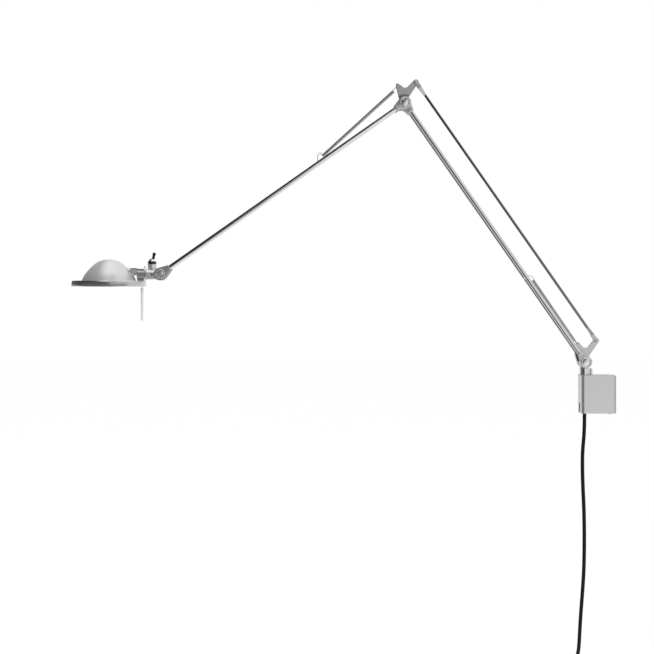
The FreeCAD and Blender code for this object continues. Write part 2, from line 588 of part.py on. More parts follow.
def save_link_rod():
    """The rod that keeps the elbow bracket upright, with a fork on each long horn."""
    base = PIVOT_BASE + V(RIGHT_HORN[0], 0, RIGHT_HORN[1])
    rod = cylinder(V(FORK_LENGTH - 3, 0, 0), V(LOWER_LENGTH - FORK_LENGTH + 3, 0, 0), ROD_RADIUS)
    save("link_rod", in_arm(rod, base, LOWER_ANGLE))
    eye = cylinder(V(0, -FORK_OUT, 0), V(0, FORK_OUT, 0), FORK_HALF)
    shank = plate(outline((0, FORK_HALF), ((FORK_LENGTH, FORK_TIP),), ((FORK_LENGTH, -FORK_TIP),),
                          ((0, -FORK_HALF),)), -FORK_OUT, FORK_OUT)
    sides = plate(outline((FORK_SLOT, -5), ((FORK_LENGTH, -5),), ((FORK_LENGTH, 5),), ((FORK_SLOT, 5),)),
                  FORK_TIP, FORK_OUT + 1)
    lean = math.atan2(FORK_OUT - FORK_TIP, FORK_LENGTH - FORK_SLOT)
    sides.rotate(V(FORK_LENGTH, FORK_TIP, 0), AXIS_Z, -math.degrees(lean))
    fork = eye.fuse(shank)
    for side in both_sides(sides):
        fork = fork.cut(side)
    slot = block((-FORK_HALF - 1, FORK_SLOT), (-FORK_IN, FORK_IN), (-5, 5))
    fork = fork.cut(slot).cut(cylinder(V(FORK_LENGTH - 3, 0, 0), V(FORK_LENGTH, 0, 0), ROD_RADIUS))
    fork = fork.cut(cylinder(V(0, -9, 0), V(0, 9, 0), ROD_PIN_RADIUS))
    other = fork.mirror(V(LOWER_LENGTH / 2, 0, 0), AXIS_X)
    save("rod_forks", *(in_arm(f, base, LOWER_ANGLE) for f in (fork, other)))
    pin = cylinder(V(0, -FORK_OUT - 0.5, 0), V(0, FORK_OUT + 0.5, 0), ROD_PIN_RADIUS)
    save("rod_pins", *(in_arm(moved(pin, V(x, 0, 0)), base, LOWER_ANGLE) for x in (0, LOWER_LENGTH)))


def save_elbow():
    x, z = RIGHT_HORN
    loose = cylinder(V(x, -BRACKET_HALF, z), V(x, BRACKET_HALF, z), ROD_PIN_RADIUS + ROD_PIN_SLACK)
    save("elbow_bracket", moved(horn_bracket(ELBOW_VALLEY).cut(loose), PIVOT_ELBOW))
    save("elbow_pin", pivot_pin(PIVOT_ELBOW))
    save("elbow_caps", *pivot_caps(PIVOT_ELBOW))
    save("elbow_washers", *washers(PIVOT_ELBOW))


def save_upper_arm():
    place = (PIVOT_ELBOW, UPPER_ANGLE)
    for name, side in zip(("upper_tube_far", "upper_tube_near"), both_sides(arm_tube(UPPER_LENGTH))):
        save(name, in_arm(side, *place))
    save("upper_lead", in_arm(arm_lead(UPPER_LENGTH), *place))
    save("upper_elbow_cheeks", *cheeks(*place, UPPER_CHEEK_IN, CHEEK_OUT, SOCKET_FROM, PIN_RADIUS + RUNNING))
    head_end = (PIVOT_HEAD, UPPER_ANGLE + 180)
    save("head_cheeks", *cheeks(*head_end, HEAD_CHEEK_IN, CHEEK_OUT, TAIL_END, PIN_RADIUS))
    save("upper_spring_bail", in_arm(spring_bail(UPPER_BAIL), *place))
    save("head_pin", pivot_pin(PIVOT_HEAD))
    save("head_caps", *pivot_caps(PIVOT_HEAD))
    save("upper_spring", arm_spring(*place, UPPER_BAIL, 0.8, 6.6, UPPER_TURNS))


# ---- Neck and switch -----------------------------------------------------------------------
def save_neck():
    end, pivot = V(NECK_END, 0, NECK_Z), V(PIVOT_HEAD.x, 0, NECK_Z)
    barrel = cylinder(end, pivot, NECK_RADIUS)
    barrel = rounded(barrel, 0.6, lambda p: p.x < NECK_END + 1e-3)
    barrel = barrel.common(block((NECK_END, pivot.x), (-HUB_HALF, HUB_HALF), (NECK_Z - 20, NECK_Z + 20)))
    hub = cylinder(PIVOT_HEAD - AXIS_Y * HUB_HALF, PIVOT_HEAD + AXIS_Y * HUB_HALF, HUB_RADIUS - 0.3)
    barrel = barrel.fuse(hub)
    barrel = barrel.cut(cylinder(PIVOT_HEAD - AXIS_Y * 9, PIVOT_HEAD + AXIS_Y * 9, PIN_RADIUS + RUNNING))
    barrel = barrel.cut(cylinder(end, V(SPIGOT_END + 0.3, 0, NECK_Z), SPIGOT_RADIUS + RUNNING))
    seat = [V(SWITCH_X, 0, z) for z in (SWITCH_FROM, NECK_Z + 20)]
    save("neck_barrel", barrel.cut(cylinder(*seat, SWITCH_RADIUS)))
    base, top = V(SWITCH_X, 0, SWITCH_FROM), V(SWITCH_X, 0, SWITCH_TO)
    pocket = cylinder(V(SWITCH_X, 0, LEVER_PIVOT_Z - 2.6), V(SWITCH_X, 0, COLLAR_TOP), LEVER_POCKET)
    save("switch_body", cylinder(base, top, SWITCH_RADIUS).cut(pocket))
    nut = Part.makePolygon([V(SWITCH_X + NUT_RADIUS * math.cos(a), NUT_RADIUS * math.sin(a), SWITCH_TO)
                            for a in [math.radians(NUT_TURN + 60 * i) for i in range(7)]])
    nut = Part.Face(nut).extrude(V(0, 0, NUT_TOP - SWITCH_TO))
    nut = nut.fuse(cone(V(SWITCH_X, 0, NUT_TOP), V(SWITCH_X, 0, COLLAR_TOP), COLLAR_FOOT, COLLAR_HEAD))
    save("switch_nut", nut.cut(pocket))
    foot = V(SWITCH_X, 0, LEVER_PIVOT_Z)
    way = V(math.sin(math.radians(LEVER_TILT)), 0, math.cos(math.radians(LEVER_TILT)))
    waist, tip = foot + way * LEVER_WAIST, foot + way * LEVER_TIP
    lever = cylinder(foot, waist, LEVER_THIN).fuse(Part.makeSphere(2.0, foot))
    lever = lever.fuse(cone(waist, tip, LEVER_THIN, LEVER_THICK)).fuse(Part.makeSphere(LEVER_THICK, tip))
    lever = lever.fuse(cylinder(foot - AXIS_Y * 2.5, foot + AXIS_Y * 2.5, 0.8))
    save("switch_lever", lever)


# ---- Head ----------------------------------------------------------------------------------
def inset_outline(inset):
    """The dome's outline moved inwards, square to itself, and cut off at its base."""
    points, moved_points = DOME_OUTLINE, []
    for i, (r, h) in enumerate(points):
        (r0, h0), (r1, h1) = points[max(i - 1, 0)], points[min(i + 1, len(points) - 1)]
        length = math.hypot(r1 - r0, h1 - h0)
        moved_points.append((r - inset * (h1 - h0) / length, h + inset * (r1 - r0) / length))
    (r0, h0), (r1, h1) = moved_points[:2]
    moved_points[0] = (r0 - (r1 - r0) * h0 / (h1 - h0), 0.0)
    moved_points[-1] = (0.0, points[-1][1] - inset)
    return moved_points


def dome_solid(inset):
    """The full dome inside the outline, moved inwards."""
    p = inset_outline(inset)
    shape = outline((0, 0), (p[0],), (p[1], p[2]), (p[3], p[4]), crown(*p[4], p[5][1]))
    return turned(shape, V(HEAD_X, 0, RIM_TOP))


def stem_notch(radius, inner_end):
    """What is cut from a dome where the lampholder's stem comes in."""
    right = HEAD_X + DOME_OUTLINE[0][0] + 1
    start = V(inner_end, 0, STEM_Z)
    notch = cylinder(start, V(right, 0, STEM_Z), radius)
    return notch.fuse(block((inner_end, right), (-radius, radius), (RIM_TOP, STEM_Z)))


def save_head():
    block_axis = [V(x, 0, NECK_Z) for x in (BLOCK_LEFT, BLOCK_RIGHT, FLANGE_X, NECK_END - 0.2, SPIGOT_END)]
    flange = cylinder(block_axis[2], block_axis[3], FLANGE_RADIUS)
    flange = rounded(flange, 0.4, lambda p: True)
    flange = flange.fuse([cylinder(block_axis[1], block_axis[2], 5.0),
                          cylinder(block_axis[3], block_axis[4], SPIGOT_RADIUS)])
    save("roll_flange", flange)
    holder_block = rounded(cylinder(block_axis[0], block_axis[1], NECK_RADIUS), 0.5, lambda p: True)
    foot = block((BLOCK_LEFT + 0.6, BLOCK_RIGHT - 0.6), (-5, 5), (RIM_TOP, NECK_Z - 5))
    save("holder_block", holder_block.fuse(foot))
    stem = cylinder(V(STEM_END, 0, STEM_Z), V(BLOCK_LEFT, 0, STEM_Z), STEM_RADIUS)
    save("holder_stem", stem)
    cover = ring(V(-707.0, 0, STEM_Z), V(-684.6, 0, STEM_Z), 8.4, 7.9)
    cover = cover.common(block((-710, -680), (-9, 9), (STEM_Z + 4.4, STEM_Z + 12)))
    cover.translate(V(0, 0, 1.0))
    save("holder_cover", cover)

    place = V(HEAD_X, 0, 0)
    profile = outline((WINDOW_RADIUS, RIM_TOP - RIM_WEB), ((RIM_RADIUS - RIM_WALL, RIM_TOP - RIM_WEB),),
                      ((RIM_RADIUS - RIM_WALL, RIM_BOTTOM),), ((RIM_RADIUS - 0.5, RIM_BOTTOM),),
                      ((RIM_RADIUS - 0.15, RIM_BOTTOM + 0.15), (RIM_RADIUS, RIM_BOTTOM + 0.5)),
                      ((RIM_RADIUS, RIM_TOP - 0.5),),
                      ((RIM_RADIUS - 0.15, RIM_TOP - 0.15), (RIM_RADIUS - 0.5, RIM_TOP)),
                      ((WINDOW_RADIUS, RIM_TOP),))
    rim = turned(profile, place)
    boss = [V(HANDLE_X, 0, z) for z in (RIM_BOTTOM, RIM_TOP - 0.6)]
    rim = rim.fuse(cylinder(*boss, 3.0)).cut(cylinder(boss[0], boss[0] + AXIS_Z * 4, HANDLE_NECK))
    save("rim_ring", rim)
    dome = dome_solid(0.0).cut(dome_solid(DOME_WALL))
    save("dome", dome.cut(stem_notch(NOTCH_RADIUS, -718.0)))
    inset = DOME_WALL + REFLECTOR_GAP
    reflector = dome_solid(inset).cut(dome_solid(inset + REFLECTOR_WALL))
    reflector = reflector.cut(block((-800, -600), (-60, 60), (RIM_TOP, LENS_TOP + 0.6)))
    save("reflector", reflector.cut(stem_notch(NOTCH_RADIUS + 0.8, -719.0)))
    save("lens_glass", cylinder(place + AXIS_Z * LENS_BOTTOM, place + AXIS_Z * LENS_TOP, LENS_RADIUS))
    holder = cylinder(V(HOLDER_END, 0, HOLDER_Z), V(STEM_END, 0, HOLDER_Z), 6.5)
    save("lampholder", holder)
    glass = [V(x, 0, HOLDER_Z) for x in (HOLDER_END, BULB_END + BULB_RADIUS)]
    bulb = cylinder(glass[0], glass[1], BULB_RADIUS).fuse(Part.makeSphere(BULB_RADIUS, glass[1]))
    save("bulb", bulb.removeSplitter())
    top = RIM_BOTTOM + 4
    handle = outline((0, HANDLE_BOTTOM), ((HANDLE_RADIUS - 0.4, HANDLE_BOTTOM),),
                     ((HANDLE_RADIUS, HANDLE_BOTTOM + 0.4),), ((HANDLE_RADIUS, RIM_BOTTOM - 3.2),),
                     ((HANDLE_NECK, RIM_BOTTOM - 2.8),), ((HANDLE_NECK, top),), ((0, top),))
    save("handle_pin", turned(handle, V(HANDLE_X, 0, 0)))


def main():
    os.makedirs("parts", exist_ok=True)
    save_wall_box()
    save_cord()
    save_swivel()
    save_lower_arm()
    save_link_rod()
    save_elbow()
    save_upper_arm()
    save_neck()
    save_head()


main()
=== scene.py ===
"""Looks of the articulating wall lamp.

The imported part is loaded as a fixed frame. This script gives its solids their finishes, models
finer forms over some of them (end fittings, springs, pivot caps, dome, rim, switch, screws, plug),
lays the cord, and sets up a plain studio. The lamp's classes hold millimetres and degrees, unless a
comment says otherwise; the studio's hold metres, as Blender does.
"""

import logging
import math
from dataclasses import dataclass
from enum import Enum
from typing import Iterable, Sequence, Union

import bpy
from mathutils import Matrix, Vector
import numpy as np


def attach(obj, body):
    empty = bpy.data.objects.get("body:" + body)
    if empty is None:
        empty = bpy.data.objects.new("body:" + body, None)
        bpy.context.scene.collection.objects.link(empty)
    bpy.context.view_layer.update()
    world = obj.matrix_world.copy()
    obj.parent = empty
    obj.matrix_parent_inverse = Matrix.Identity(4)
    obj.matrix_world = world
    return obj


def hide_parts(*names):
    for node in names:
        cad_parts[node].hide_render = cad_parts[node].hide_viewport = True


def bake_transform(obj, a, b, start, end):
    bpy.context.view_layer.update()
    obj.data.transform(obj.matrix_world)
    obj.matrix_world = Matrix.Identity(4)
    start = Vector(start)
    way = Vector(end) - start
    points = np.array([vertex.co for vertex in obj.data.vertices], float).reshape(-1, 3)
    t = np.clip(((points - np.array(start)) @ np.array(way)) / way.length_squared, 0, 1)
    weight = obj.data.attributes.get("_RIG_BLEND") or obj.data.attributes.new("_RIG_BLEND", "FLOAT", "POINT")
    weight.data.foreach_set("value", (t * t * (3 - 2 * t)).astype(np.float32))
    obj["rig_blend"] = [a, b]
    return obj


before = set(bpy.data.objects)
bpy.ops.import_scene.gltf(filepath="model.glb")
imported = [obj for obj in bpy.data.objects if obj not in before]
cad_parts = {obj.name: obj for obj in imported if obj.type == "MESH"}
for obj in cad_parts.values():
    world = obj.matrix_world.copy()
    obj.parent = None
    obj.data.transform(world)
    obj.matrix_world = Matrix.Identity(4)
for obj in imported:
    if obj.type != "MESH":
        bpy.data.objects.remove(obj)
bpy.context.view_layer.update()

log = logging.getLogger("wall_lamp")
MM = 0.001
WELD = 1e-6
SEAM_WELD = 2e-6
Colour = tuple[float, float, float]
Profile = list[tuple[float, float]]
Piece = bpy.types.Object
UP = Vector((0, 0, 1))
ALONG_X = Vector((1, 0, 0))
ALONG_Y = Vector((0, 1, 0))
WHITE = (1.0, 1.0, 1.0, 1.0)


def mm(x: float, y: float, z: float) -> Vector:
    """A point or a step given in millimetres."""
    return Vector((x, y, z)) * MM


def stand(pivot: Vector, angle: float) -> Matrix:
    """The frame at a pivot, its X axis turned up from the lamp's by an angle in degrees."""
    return Matrix.Translation(pivot) @ Matrix.Rotation(-math.radians(angle), 4, "Y")


class Side(Enum):
    """The plug's two narrow sides, as signs."""

    LEFT = -1
    RIGHT = 1


class Boolean(Enum):
    """How two solids are combined, with the modifier's own word for it."""

    CUT = "DIFFERENCE"
    UNITE = "UNION"


@dataclass(frozen=True)
class ArmLine:
    """The line that an arm follows, from its pivot."""

    x: float
    z: float
    angle: float
    length: float

    @property
    def way(self) -> Vector:
        """The direction along the arm."""
        turn = math.radians(self.angle)
        return Vector((math.cos(turn), 0, math.sin(turn)))

    @property
    def above(self) -> Vector:
        """The direction from the arm to its spring."""
        turn = math.radians(self.angle)
        return Vector((math.sin(turn), 0, -math.cos(turn)))

    def at(self, along: float, side: float = 0.0, above: float = 0.0) -> Vector:
        """A point, in metres, so far along the arm, from the middle plane and towards the spring."""
        pivot = mm(self.x, side, self.z)
        return pivot + self.way * (along * MM) + self.above * (above * MM)


LOWER_LINE = ArmLine(-42.9, 46.5, 124.9, 460.0)
UPPER_LINE = ArmLine(-306.087, 423.770, 215.07, 434.0)
HEAD_PIVOT = mm(-661.295, 0, 174.404)


# ---- Shader maths --------------------------------------------------------------------------
class Wire:
    """A shader value that Python's arithmetic works on; each sign adds its Math node."""

    def __init__(self, graph: "Graph", socket: bpy.types.NodeSocket) -> None:
        """Wraps an output socket of a graph."""
        self.graph = graph
        self.socket = socket

    def _maths(self, operation: str, first: "Value", second: "Value") -> "Wire":
        """Adds one Math node and returns its result."""
        return self.graph.value("ShaderNodeMath", {"operation": operation}, {0: first, 1: second})

    def __add__(self, other: "Value") -> "Wire":
        """Sum."""
        return self._maths("ADD", self, other)

    def __sub__(self, other: "Value") -> "Wire":
        """Difference."""
        return self._maths("SUBTRACT", self, other)

    def __mul__(self, other: "Value") -> "Wire":
        """Product."""
        return self._maths("MULTIPLY", self, other)

    __radd__ = __add__

    def at_least(self, other: "Value") -> "Wire":
        """The larger of two values."""
        return self._maths("MAXIMUM", self, other)


Value = Union[Wire, float]


class Graph:
    """The nodes of one material or world."""

    def __init__(self, tree: bpy.types.NodeTree) -> None:
        """Empties a node tree, ready for new nodes."""
        tree.nodes.clear()
        self.tree = tree

    def node(self, kind: str, settings: dict, sockets: dict) -> bpy.types.Node:
        """Adds a node.

        Args:
            kind: The node's type.
            settings: Its properties; "stops" holds a ramp's positions and colours.
            sockets: Values or wires for its inputs, by name or index.

        Returns:
            The new node.
        """
        node = self.tree.nodes.new(kind)
        for name, setting in settings.items():
            if name == "stops":
                self._set_stops(node.color_ramp, setting)
            else:
                setattr(node, name, setting)
        for key, given in sockets.items():
            if isinstance(given, Wire):
                self.tree.links.new(given.socket, node.inputs[key])
            else:
                node.inputs[key].default_value = given
        return node

    def _set_stops(self, ramp: bpy.types.ColorRamp, stops: Sequence[tuple[float, Colour]]) -> None:
        """Gives a colour ramp its stops.

        Args:
            ramp: The ramp.
            stops: A position and a colour for each.
        """
        while len(ramp.elements) < len(stops):
            ramp.elements.new(1.0)
        for element, (position, colour) in zip(ramp.elements, stops):
            element.position = position
            element.color = (*colour, 1.0)

    def value(self, kind: str, settings: dict, sockets: dict, out: Union[int, str] = 0) -> Wire:
        """Adds a node and returns one of its outputs, by index or name."""
        return Wire(self, self.node(kind, settings, sockets).outputs[out])

    def place(self) -> Wire:
        """Object coordinates, which are the lamp's frame in metres."""
        return self.value("ShaderNodeTexCoord", {}, {}, "Object")

    def mapped(self, turn: float, size: Sequence[float], centre: Vector = Vector()) -> Wire:
        """Object coordinates in a turned and stretched frame.

        Args:
            turn: Turn about Y in degrees that takes the new X axis from X towards Z.
            size: What one unit of the new frame measures along each axis, in metres.
            centre: The new frame's origin.

        Returns:
            The mapped coordinates.
        """
        sockets = {
            "Vector": self.place(),
            "Location": tuple(centre),
            "Rotation": (0.0, -math.radians(turn), 0.0),
            "Scale": tuple(size),
        }
        return self.value("ShaderNodeMapping", {"vector_type": "TEXTURE"}, sockets)

    def noise(self, where: Wire, scale: float, detail: float = 2.0) -> Wire:
        """Smooth noise from 0 to 1, with so many cells in one unit of the coordinates."""
        sockets = {"Vector": where, "Scale": scale, "Detail": detail, "Roughness": 0.55}
        return self.value("ShaderNodeTexNoise", {}, sockets)

    def blend(self, share: Value, first: Colour, second: Colour) -> Wire:
        """A colour between two: the first at a share of 0, the second at 1."""
        sockets = {0: share, 6: (*first, 1.0), 7: (*second, 1.0)}
        return self.value("ShaderNodeMix", {"data_type": "RGBA"}, sockets, 2)

    def bump(self, height: Wire, strength: float, distance: float) -> Wire:
        """The normal of a relief whose height of 1 measures a distance in metres."""
        sockets = {"Height": height, "Strength": strength, "Distance": distance}
        return self.value("ShaderNodeBump", {}, sockets)


def shade(colour: Colour, factor: float) -> Colour:
    """A colour made lighter or darker."""
    return tuple(min(1.0, max(0.0, c * factor)) for c in colour)


def grey(tone: float) -> Colour:
    """A grey of one tone."""
    return (tone, tone, tone)


def new_material(name: str) -> tuple[bpy.types.Material, Graph]:
    """A new material, and its graph with nothing in it.

    Args:
        name: The material's name.

    Returns:
        The material and its graph.
    """
    material = bpy.data.materials.new(name)
    material.use_nodes = True
    return material, Graph(material.node_tree)


# ---- Finishes ------------------------------------------------------------------------------
@dataclass(frozen=True)
class Finish:
    """What all finishes share: an even surface, to be varied by the kinds below."""

    name: str
    colour: Colour
    roughness: float
    metallic: float = 0.0

    def made(self) -> bpy.types.Material:
        """Makes the finish's material, or finds the one made before.

        Returns:
            The material.
        """
        found = bpy.data.materials.get(self.name)
        if found:
            return found
        material, graph = new_material(self.name)
        sockets = {"Metallic": self.metallic, "Roughness": self.roughness}
        sockets["Base Color"] = (*self.colour, 1.0)
        sockets.update(self.surface(graph))
        shader = graph.value("ShaderNodeBsdfPrincipled", {}, sockets)
        graph.node("ShaderNodeOutputMaterial", {}, {"Surface": shader})
        return material

    def surface(self, graph: Graph) -> dict:
        """The shader sockets that this kind of finish sets or varies."""
        return {}

    def tones(self, graph: Graph, share: Wire, darker: float, lighter: float) -> Wire:
        """The finish's colour, from darker at a share of 0 to lighter at 1."""
        return graph.blend(share, shade(self.colour, 1 - darker), shade(self.colour, 1 + lighter))


@dataclass(frozen=True)
class SprayCoat(Finish):
    """Metallic silver lacquer or powder coat, with fine flake and a slight orange peel."""

    flake: float = 0.05
    peel: float = 0.5
    peel_depth: float = 0.004
    drift: float = 0.05
    drift_cells: float = 18.0
    flake_cells: float = 5200.0

    def surface(self, graph: Graph) -> dict:
        """Flake and a slow drift in the colour, and peel in the normal.

        Args:
            graph: The material's graph.

        Returns:
            The shader's sockets by name.
        """
        place = graph.place()
        slow = graph.noise(place, self.drift_cells, 3.0)
        fine = graph.noise(place, self.flake_cells, 1.0)
        peel = graph.noise(place, 1.0 / (self.peel * MM))
        spread = self.drift + self.flake
        share = (slow * self.drift + fine * self.flake) * (1.0 / spread)
        return {
            "Base Color": self.tones(graph, share, spread, spread),
            "Roughness": self.roughness - 0.04 + slow * 0.08,
            "Normal": graph.bump(peel, 0.6, self.peel_depth * MM),
        }


@dataclass(frozen=True)
class Casting(Finish):
    """Fine-blasted casting: a dense soft grain, a little darker in its hollows."""

    grain: float = 0.35
    depth: float = 0.0003
    cloud_cells: float = 90.0
    cloudiness: float = 0.02

    def surface(self, graph: Graph) -> dict:
        """Grain in the normal, and cloudy colour.

        Args:
            graph: The material's graph.

        Returns:
            The shader's sockets by name.
        """
        place = graph.place()
        cloud = graph.noise(place, self.cloud_cells, 3.0)
        grain = graph.noise(place, 1.0 / (self.grain * MM), 3.0)
        tone = cloud * 0.6 + grain * 0.4
        return {
            "Base Color": self.tones(graph, tone, self.cloudiness, self.cloudiness),
            "Roughness": self.roughness - 0.01 + grain * 0.02,
            "Normal": graph.bump(grain, 0.5, self.depth * MM),
        }


@dataclass(frozen=True)
class Drawn(Finish):
    """Metal drawn or brushed along one direction of the lamp's plane, given by its angle."""

    angle: float = 0.0
    line: float = 0.12
    line_length: float = 60.0
    patch: float = 9.0
    patch_length: float = 40.0
    depth: float = 0.002
    wear: float = 0.08

    def surface(self, graph: Graph) -> dict:
        """Long fine lines in roughness and normal, and slow tone along the length.

        Args:
            graph: The material's graph.

        Returns:
            The shader's sockets by name.
        """
        line = mm(self.line_length, self.line, self.line)
        patch = mm(self.patch_length, self.patch, self.patch)
        streak = graph.noise(graph.mapped(self.angle, line), 1.0)
        slow = graph.noise(graph.mapped(self.angle, patch), 1.0)
        return {
            "Base Color": self.tones(graph, streak * 0.5 + slow * 0.5, self.wear, self.wear),
            "Roughness": self.roughness - 0.05 + streak * 0.1,
            "Normal": graph.bump(streak, 0.4, self.depth * MM),
        }


@dataclass(frozen=True)
class Turned(Finish):
    """Metal turned on a lathe about an axis along Y: faint rings about its centre."""

    x: float = 0.0
    z: float = 0.0
    ring: float = 0.25
    depth: float = 0.0006
    smudge_cells: float = 260.0
    smudge: float = 0.02

    def surface(self, graph: Graph) -> dict:
        """Rings in roughness and normal, and slow smudges.

        Args:
            graph: The material's graph.

        Returns:
            The shader's sockets by name.
        """
        flat = graph.mapped(0.0, (1.0, 1e6, 1.0), mm(self.x, 0, self.z))
        reach = graph.value("ShaderNodeVectorMath", {"operation": "LENGTH"}, {0: flat}, "Value")
        sockets = {"W": reach * (1.0 / (self.ring * MM)), "Scale": 1.0}
        rings = graph.value("ShaderNodeTexNoise", {"noise_dimensions": "1D"}, sockets)
        smudge = graph.noise(graph.place(), self.smudge_cells)
        return {
            "Base Color": self.tones(graph, smudge, self.smudge, self.smudge),
            "Roughness": self.roughness - 0.02 + rings * 0.03 + smudge * self.smudge,
            "Normal": graph.bump(rings, 0.35, self.depth * MM),
        }


@dataclass(frozen=True)
class Polished(Finish):
    """Polished or plated metal with faint smudges."""

    smudge: float = 0.06
    smudge_cells: float = 140.0

    def surface(self, graph: Graph) -> dict:
        """Smudges in the roughness, and a slight tone.

        Args:
            graph: The material's graph.

        Returns:
            The shader's sockets by name.
        """
        cloud = graph.noise(graph.place(), self.smudge_cells, 4.0)
        return {
            "Base Color": self.tones(graph, cloud, 0.05, 0.04),
            "Roughness": self.roughness + cloud * self.smudge,
        }


@dataclass(frozen=True)
class Moulded(Finish):
    """Moulded plastic or rubber with a fine sparked texture."""

    grain: float = 0.25
    depth: float = 0.01
    worn: float = 0.25
    worn_cells: float = 120.0
    gloss: float = 0.5

    def surface(self, graph: Graph) -> dict:
        """Grain in the normal, and worn lighter patches.

        Args:
            graph: The material's graph.

        Returns:
            The shader's sockets by name.
        """
        place = graph.place()
        grain = graph.noise(place, 1.0 / (self.grain * MM))
        patch = graph.noise(place, self.worn_cells, 3.0)
        return {
            "Base Color": self.tones(graph, patch, self.worn, self.worn),
            "Roughness": self.roughness - 0.06 + patch * 0.12,
            "Specular IOR Level": self.gloss,
            "Normal": graph.bump(grain, 0.5, self.depth * MM),
        }


@dataclass(frozen=True)
class ClearGlass(Finish):
    """Clear glass with faint smears."""

    smear_cells: float = 60.0

    def surface(self, graph: Graph) -> dict:
        """Full transmission, and smears in the roughness."""
        smear = graph.noise(graph.place(), self.smear_cells, 3.0)
        return {"Transmission Weight": 1.0, "IOR": 1.46, "Roughness": self.roughness + smear * 0.03}


BOX_PAINT = SprayCoat("box_paint_coat", grey(0.60), 0.30, 0.8)
PLATE_PAINT = SprayCoat("plate_paint_coat", grey(0.46), 0.38, 0.6)
HEAD_PAINT = SprayCoat("head_paint_coat", grey(0.66), 0.38, 0.5, flake=0.06)
COVER_PAINT = SprayCoat("cover_paint_coat", grey(0.92), 0.35, 0.0)
CAST_GREY = Casting("cast_grey_blasted", grey(0.58), 0.36, 0.8)
# Near-black casting for the elbow's collars: painted shade for the dark band above the hub
COLLAR_PAINTED_SHADE = Casting("collar_painted_shade", grey(0.10), 0.34, 0.9)
LOWER_TUBE = Drawn("lower_tube_drawn", grey(0.72), 0.16, 1.0, angle=124.9)
UPPER_TUBE = Drawn("upper_tube_drawn", grey(0.70), 0.16, 1.0, angle=215.07)
ROD_STEEL = Drawn("rod_steel_drawn", grey(0.20), 0.30, 1.0, angle=124.9)
HANDLE_SATIN = Drawn("handle_satin", grey(0.90), 0.45, 0.15, angle=90.0)
BLOCK_STEEL = SprayCoat("block_satin", grey(0.50), 0.18, 0.7)
SWITCH_NICKEL = Drawn("switch_nickel", grey(0.74), 0.22, 0.7, angle=90.0)
RIM_STEEL = Drawn("rim_satin", grey(0.64), 0.28, 0.95, angle=0.0, line=0.18)
NECK_SATIN = SprayCoat("neck_satin", grey(0.72), 0.18, 0.6)
BRIGHT_STEEL = Polished("bright_steel_polished", (0.78, 0.78, 0.79), 0.12, 1.0)
UPRIGHT_STEEL = Drawn("spindle_steel", grey(0.75), 0.18, 1.0, angle=90.0)
SPRING_STEEL = Polished("spring_steel_wire", (0.55, 0.55, 0.56), 0.25, 1.0)
REFLECTOR_BRIGHT = Polished("reflector_bright", grey(0.86), 0.16, 1.0, smudge=0.1)
BLACK_RUBBER = Moulded("black_rubber_flex", (0.007, 0.007, 0.0075), 0.5, depth=0.006, gloss=0.22)
BLACK_PLASTIC = Moulded("black_plastic_moulded", (0.008, 0.008, 0.009), 0.4, gloss=0.3)
WHITE_PLASTIC = Moulded("white_plastic_moulded", (0.80, 0.80, 0.78), 0.45, worn=0.03)
CERAMIC = Moulded("ceramic_glazed", (0.82, 0.81, 0.77), 0.25, worn=0.03, depth=0.004)
BRONZE = Casting("bronze_sintered", (0.50, 0.34, 0.17), 0.4, 0.9, grain=0.2)
NYLON = Moulded("nylon_natural", (0.70, 0.70, 0.67), 0.5, worn=0.04)
CLEAR_GLASS = ClearGlass("clear_glass_pane", (0.97, 0.98, 0.98), 0.0)
NICKEL_PINS = Polished("nickel_pins", (0.68, 0.66, 0.60), 0.2, 1.0)
TUNGSTEN = Finish("tungsten_wire", (0.25, 0.25, 0.26), 0.4, 1.0)


# ---- Bench: shapes made as by hand ---------------------------------------------------------
def deselect() -> None:
    """Goes to object mode and leaves nothing selected."""
    if bpy.context.object is not None and bpy.context.object.mode != "OBJECT":
        bpy.ops.object.mode_set(mode="OBJECT")
    bpy.ops.object.select_all(action="DESELECT")


def only(piece: Piece) -> None:
    """Selects one piece and makes it active.

    Args:
        piece: The piece.
    """
    deselect()
    piece.select_set(True)
    bpy.context.view_layer.objects.active = piece


def named(name: str) -> Piece:
    """Names the object that the last operator made, and its data.

    Args:
        name: The name.

    Returns:
        The object.
    """
    piece = bpy.context.object
    piece.name = name
    piece.data.name = name
    return piece


def edit() -> None:
    """Opens the active mesh with all of it selected, vertices first."""
    bpy.ops.object.mode_set(mode="EDIT")
    bpy.context.tool_settings.mesh_select_mode = (True, False, False)
    bpy.ops.mesh.select_all(action="SELECT")


def closed(weld: float = 0.0) -> None:
    """Ends the work on the open mesh, with its faces turned outwards.

    Args:
        weld: Vertices nearer than this, in metres, are merged; 0 merges none.
    """
    bpy.ops.mesh.select_all(action="SELECT")
    if weld:
        bpy.ops.mesh.remove_doubles(threshold=weld)
    bpy.ops.mesh.normals_make_consistent(inside=False)
    deselect()


def placed(piece: Piece, place: Matrix) -> Piece:
    """Moves a piece by a matrix, which goes into its mesh.

    Args:
        piece: The piece.
        place: Where its own frame goes.

    Returns:
        The piece.
    """
    only(piece)
    piece.matrix_world = place
    bpy.ops.object.transform_apply(location=True, rotation=True, scale=True)
    return piece


def settled(piece: Piece, place: Vector = Vector(), axis: Vector = UP) -> Piece:
    """Turns a piece from +Z to an axis and moves it to a place."""
    turn = axis.to_track_quat("Z", "Y").to_matrix().to_4x4()
    return placed(piece, Matrix.Translation(place) @ turn)


def modified(piece: Piece, kind: str, **settings: object) -> Piece:
    """Adds a modifier to a piece and applies it.

    Args:
        piece: The piece.
        kind: The modifier's type.
        settings: The modifier's properties, set in this order.

    Returns:
        The piece.
    """
    only(piece)
    bpy.ops.object.modifier_add(type=kind)
    modifier = piece.modifiers[-1]
    for name, setting in settings.items():
        setattr(modifier, name, setting)
    bpy.ops.object.modifier_apply(modifier=modifier.name)
    return piece


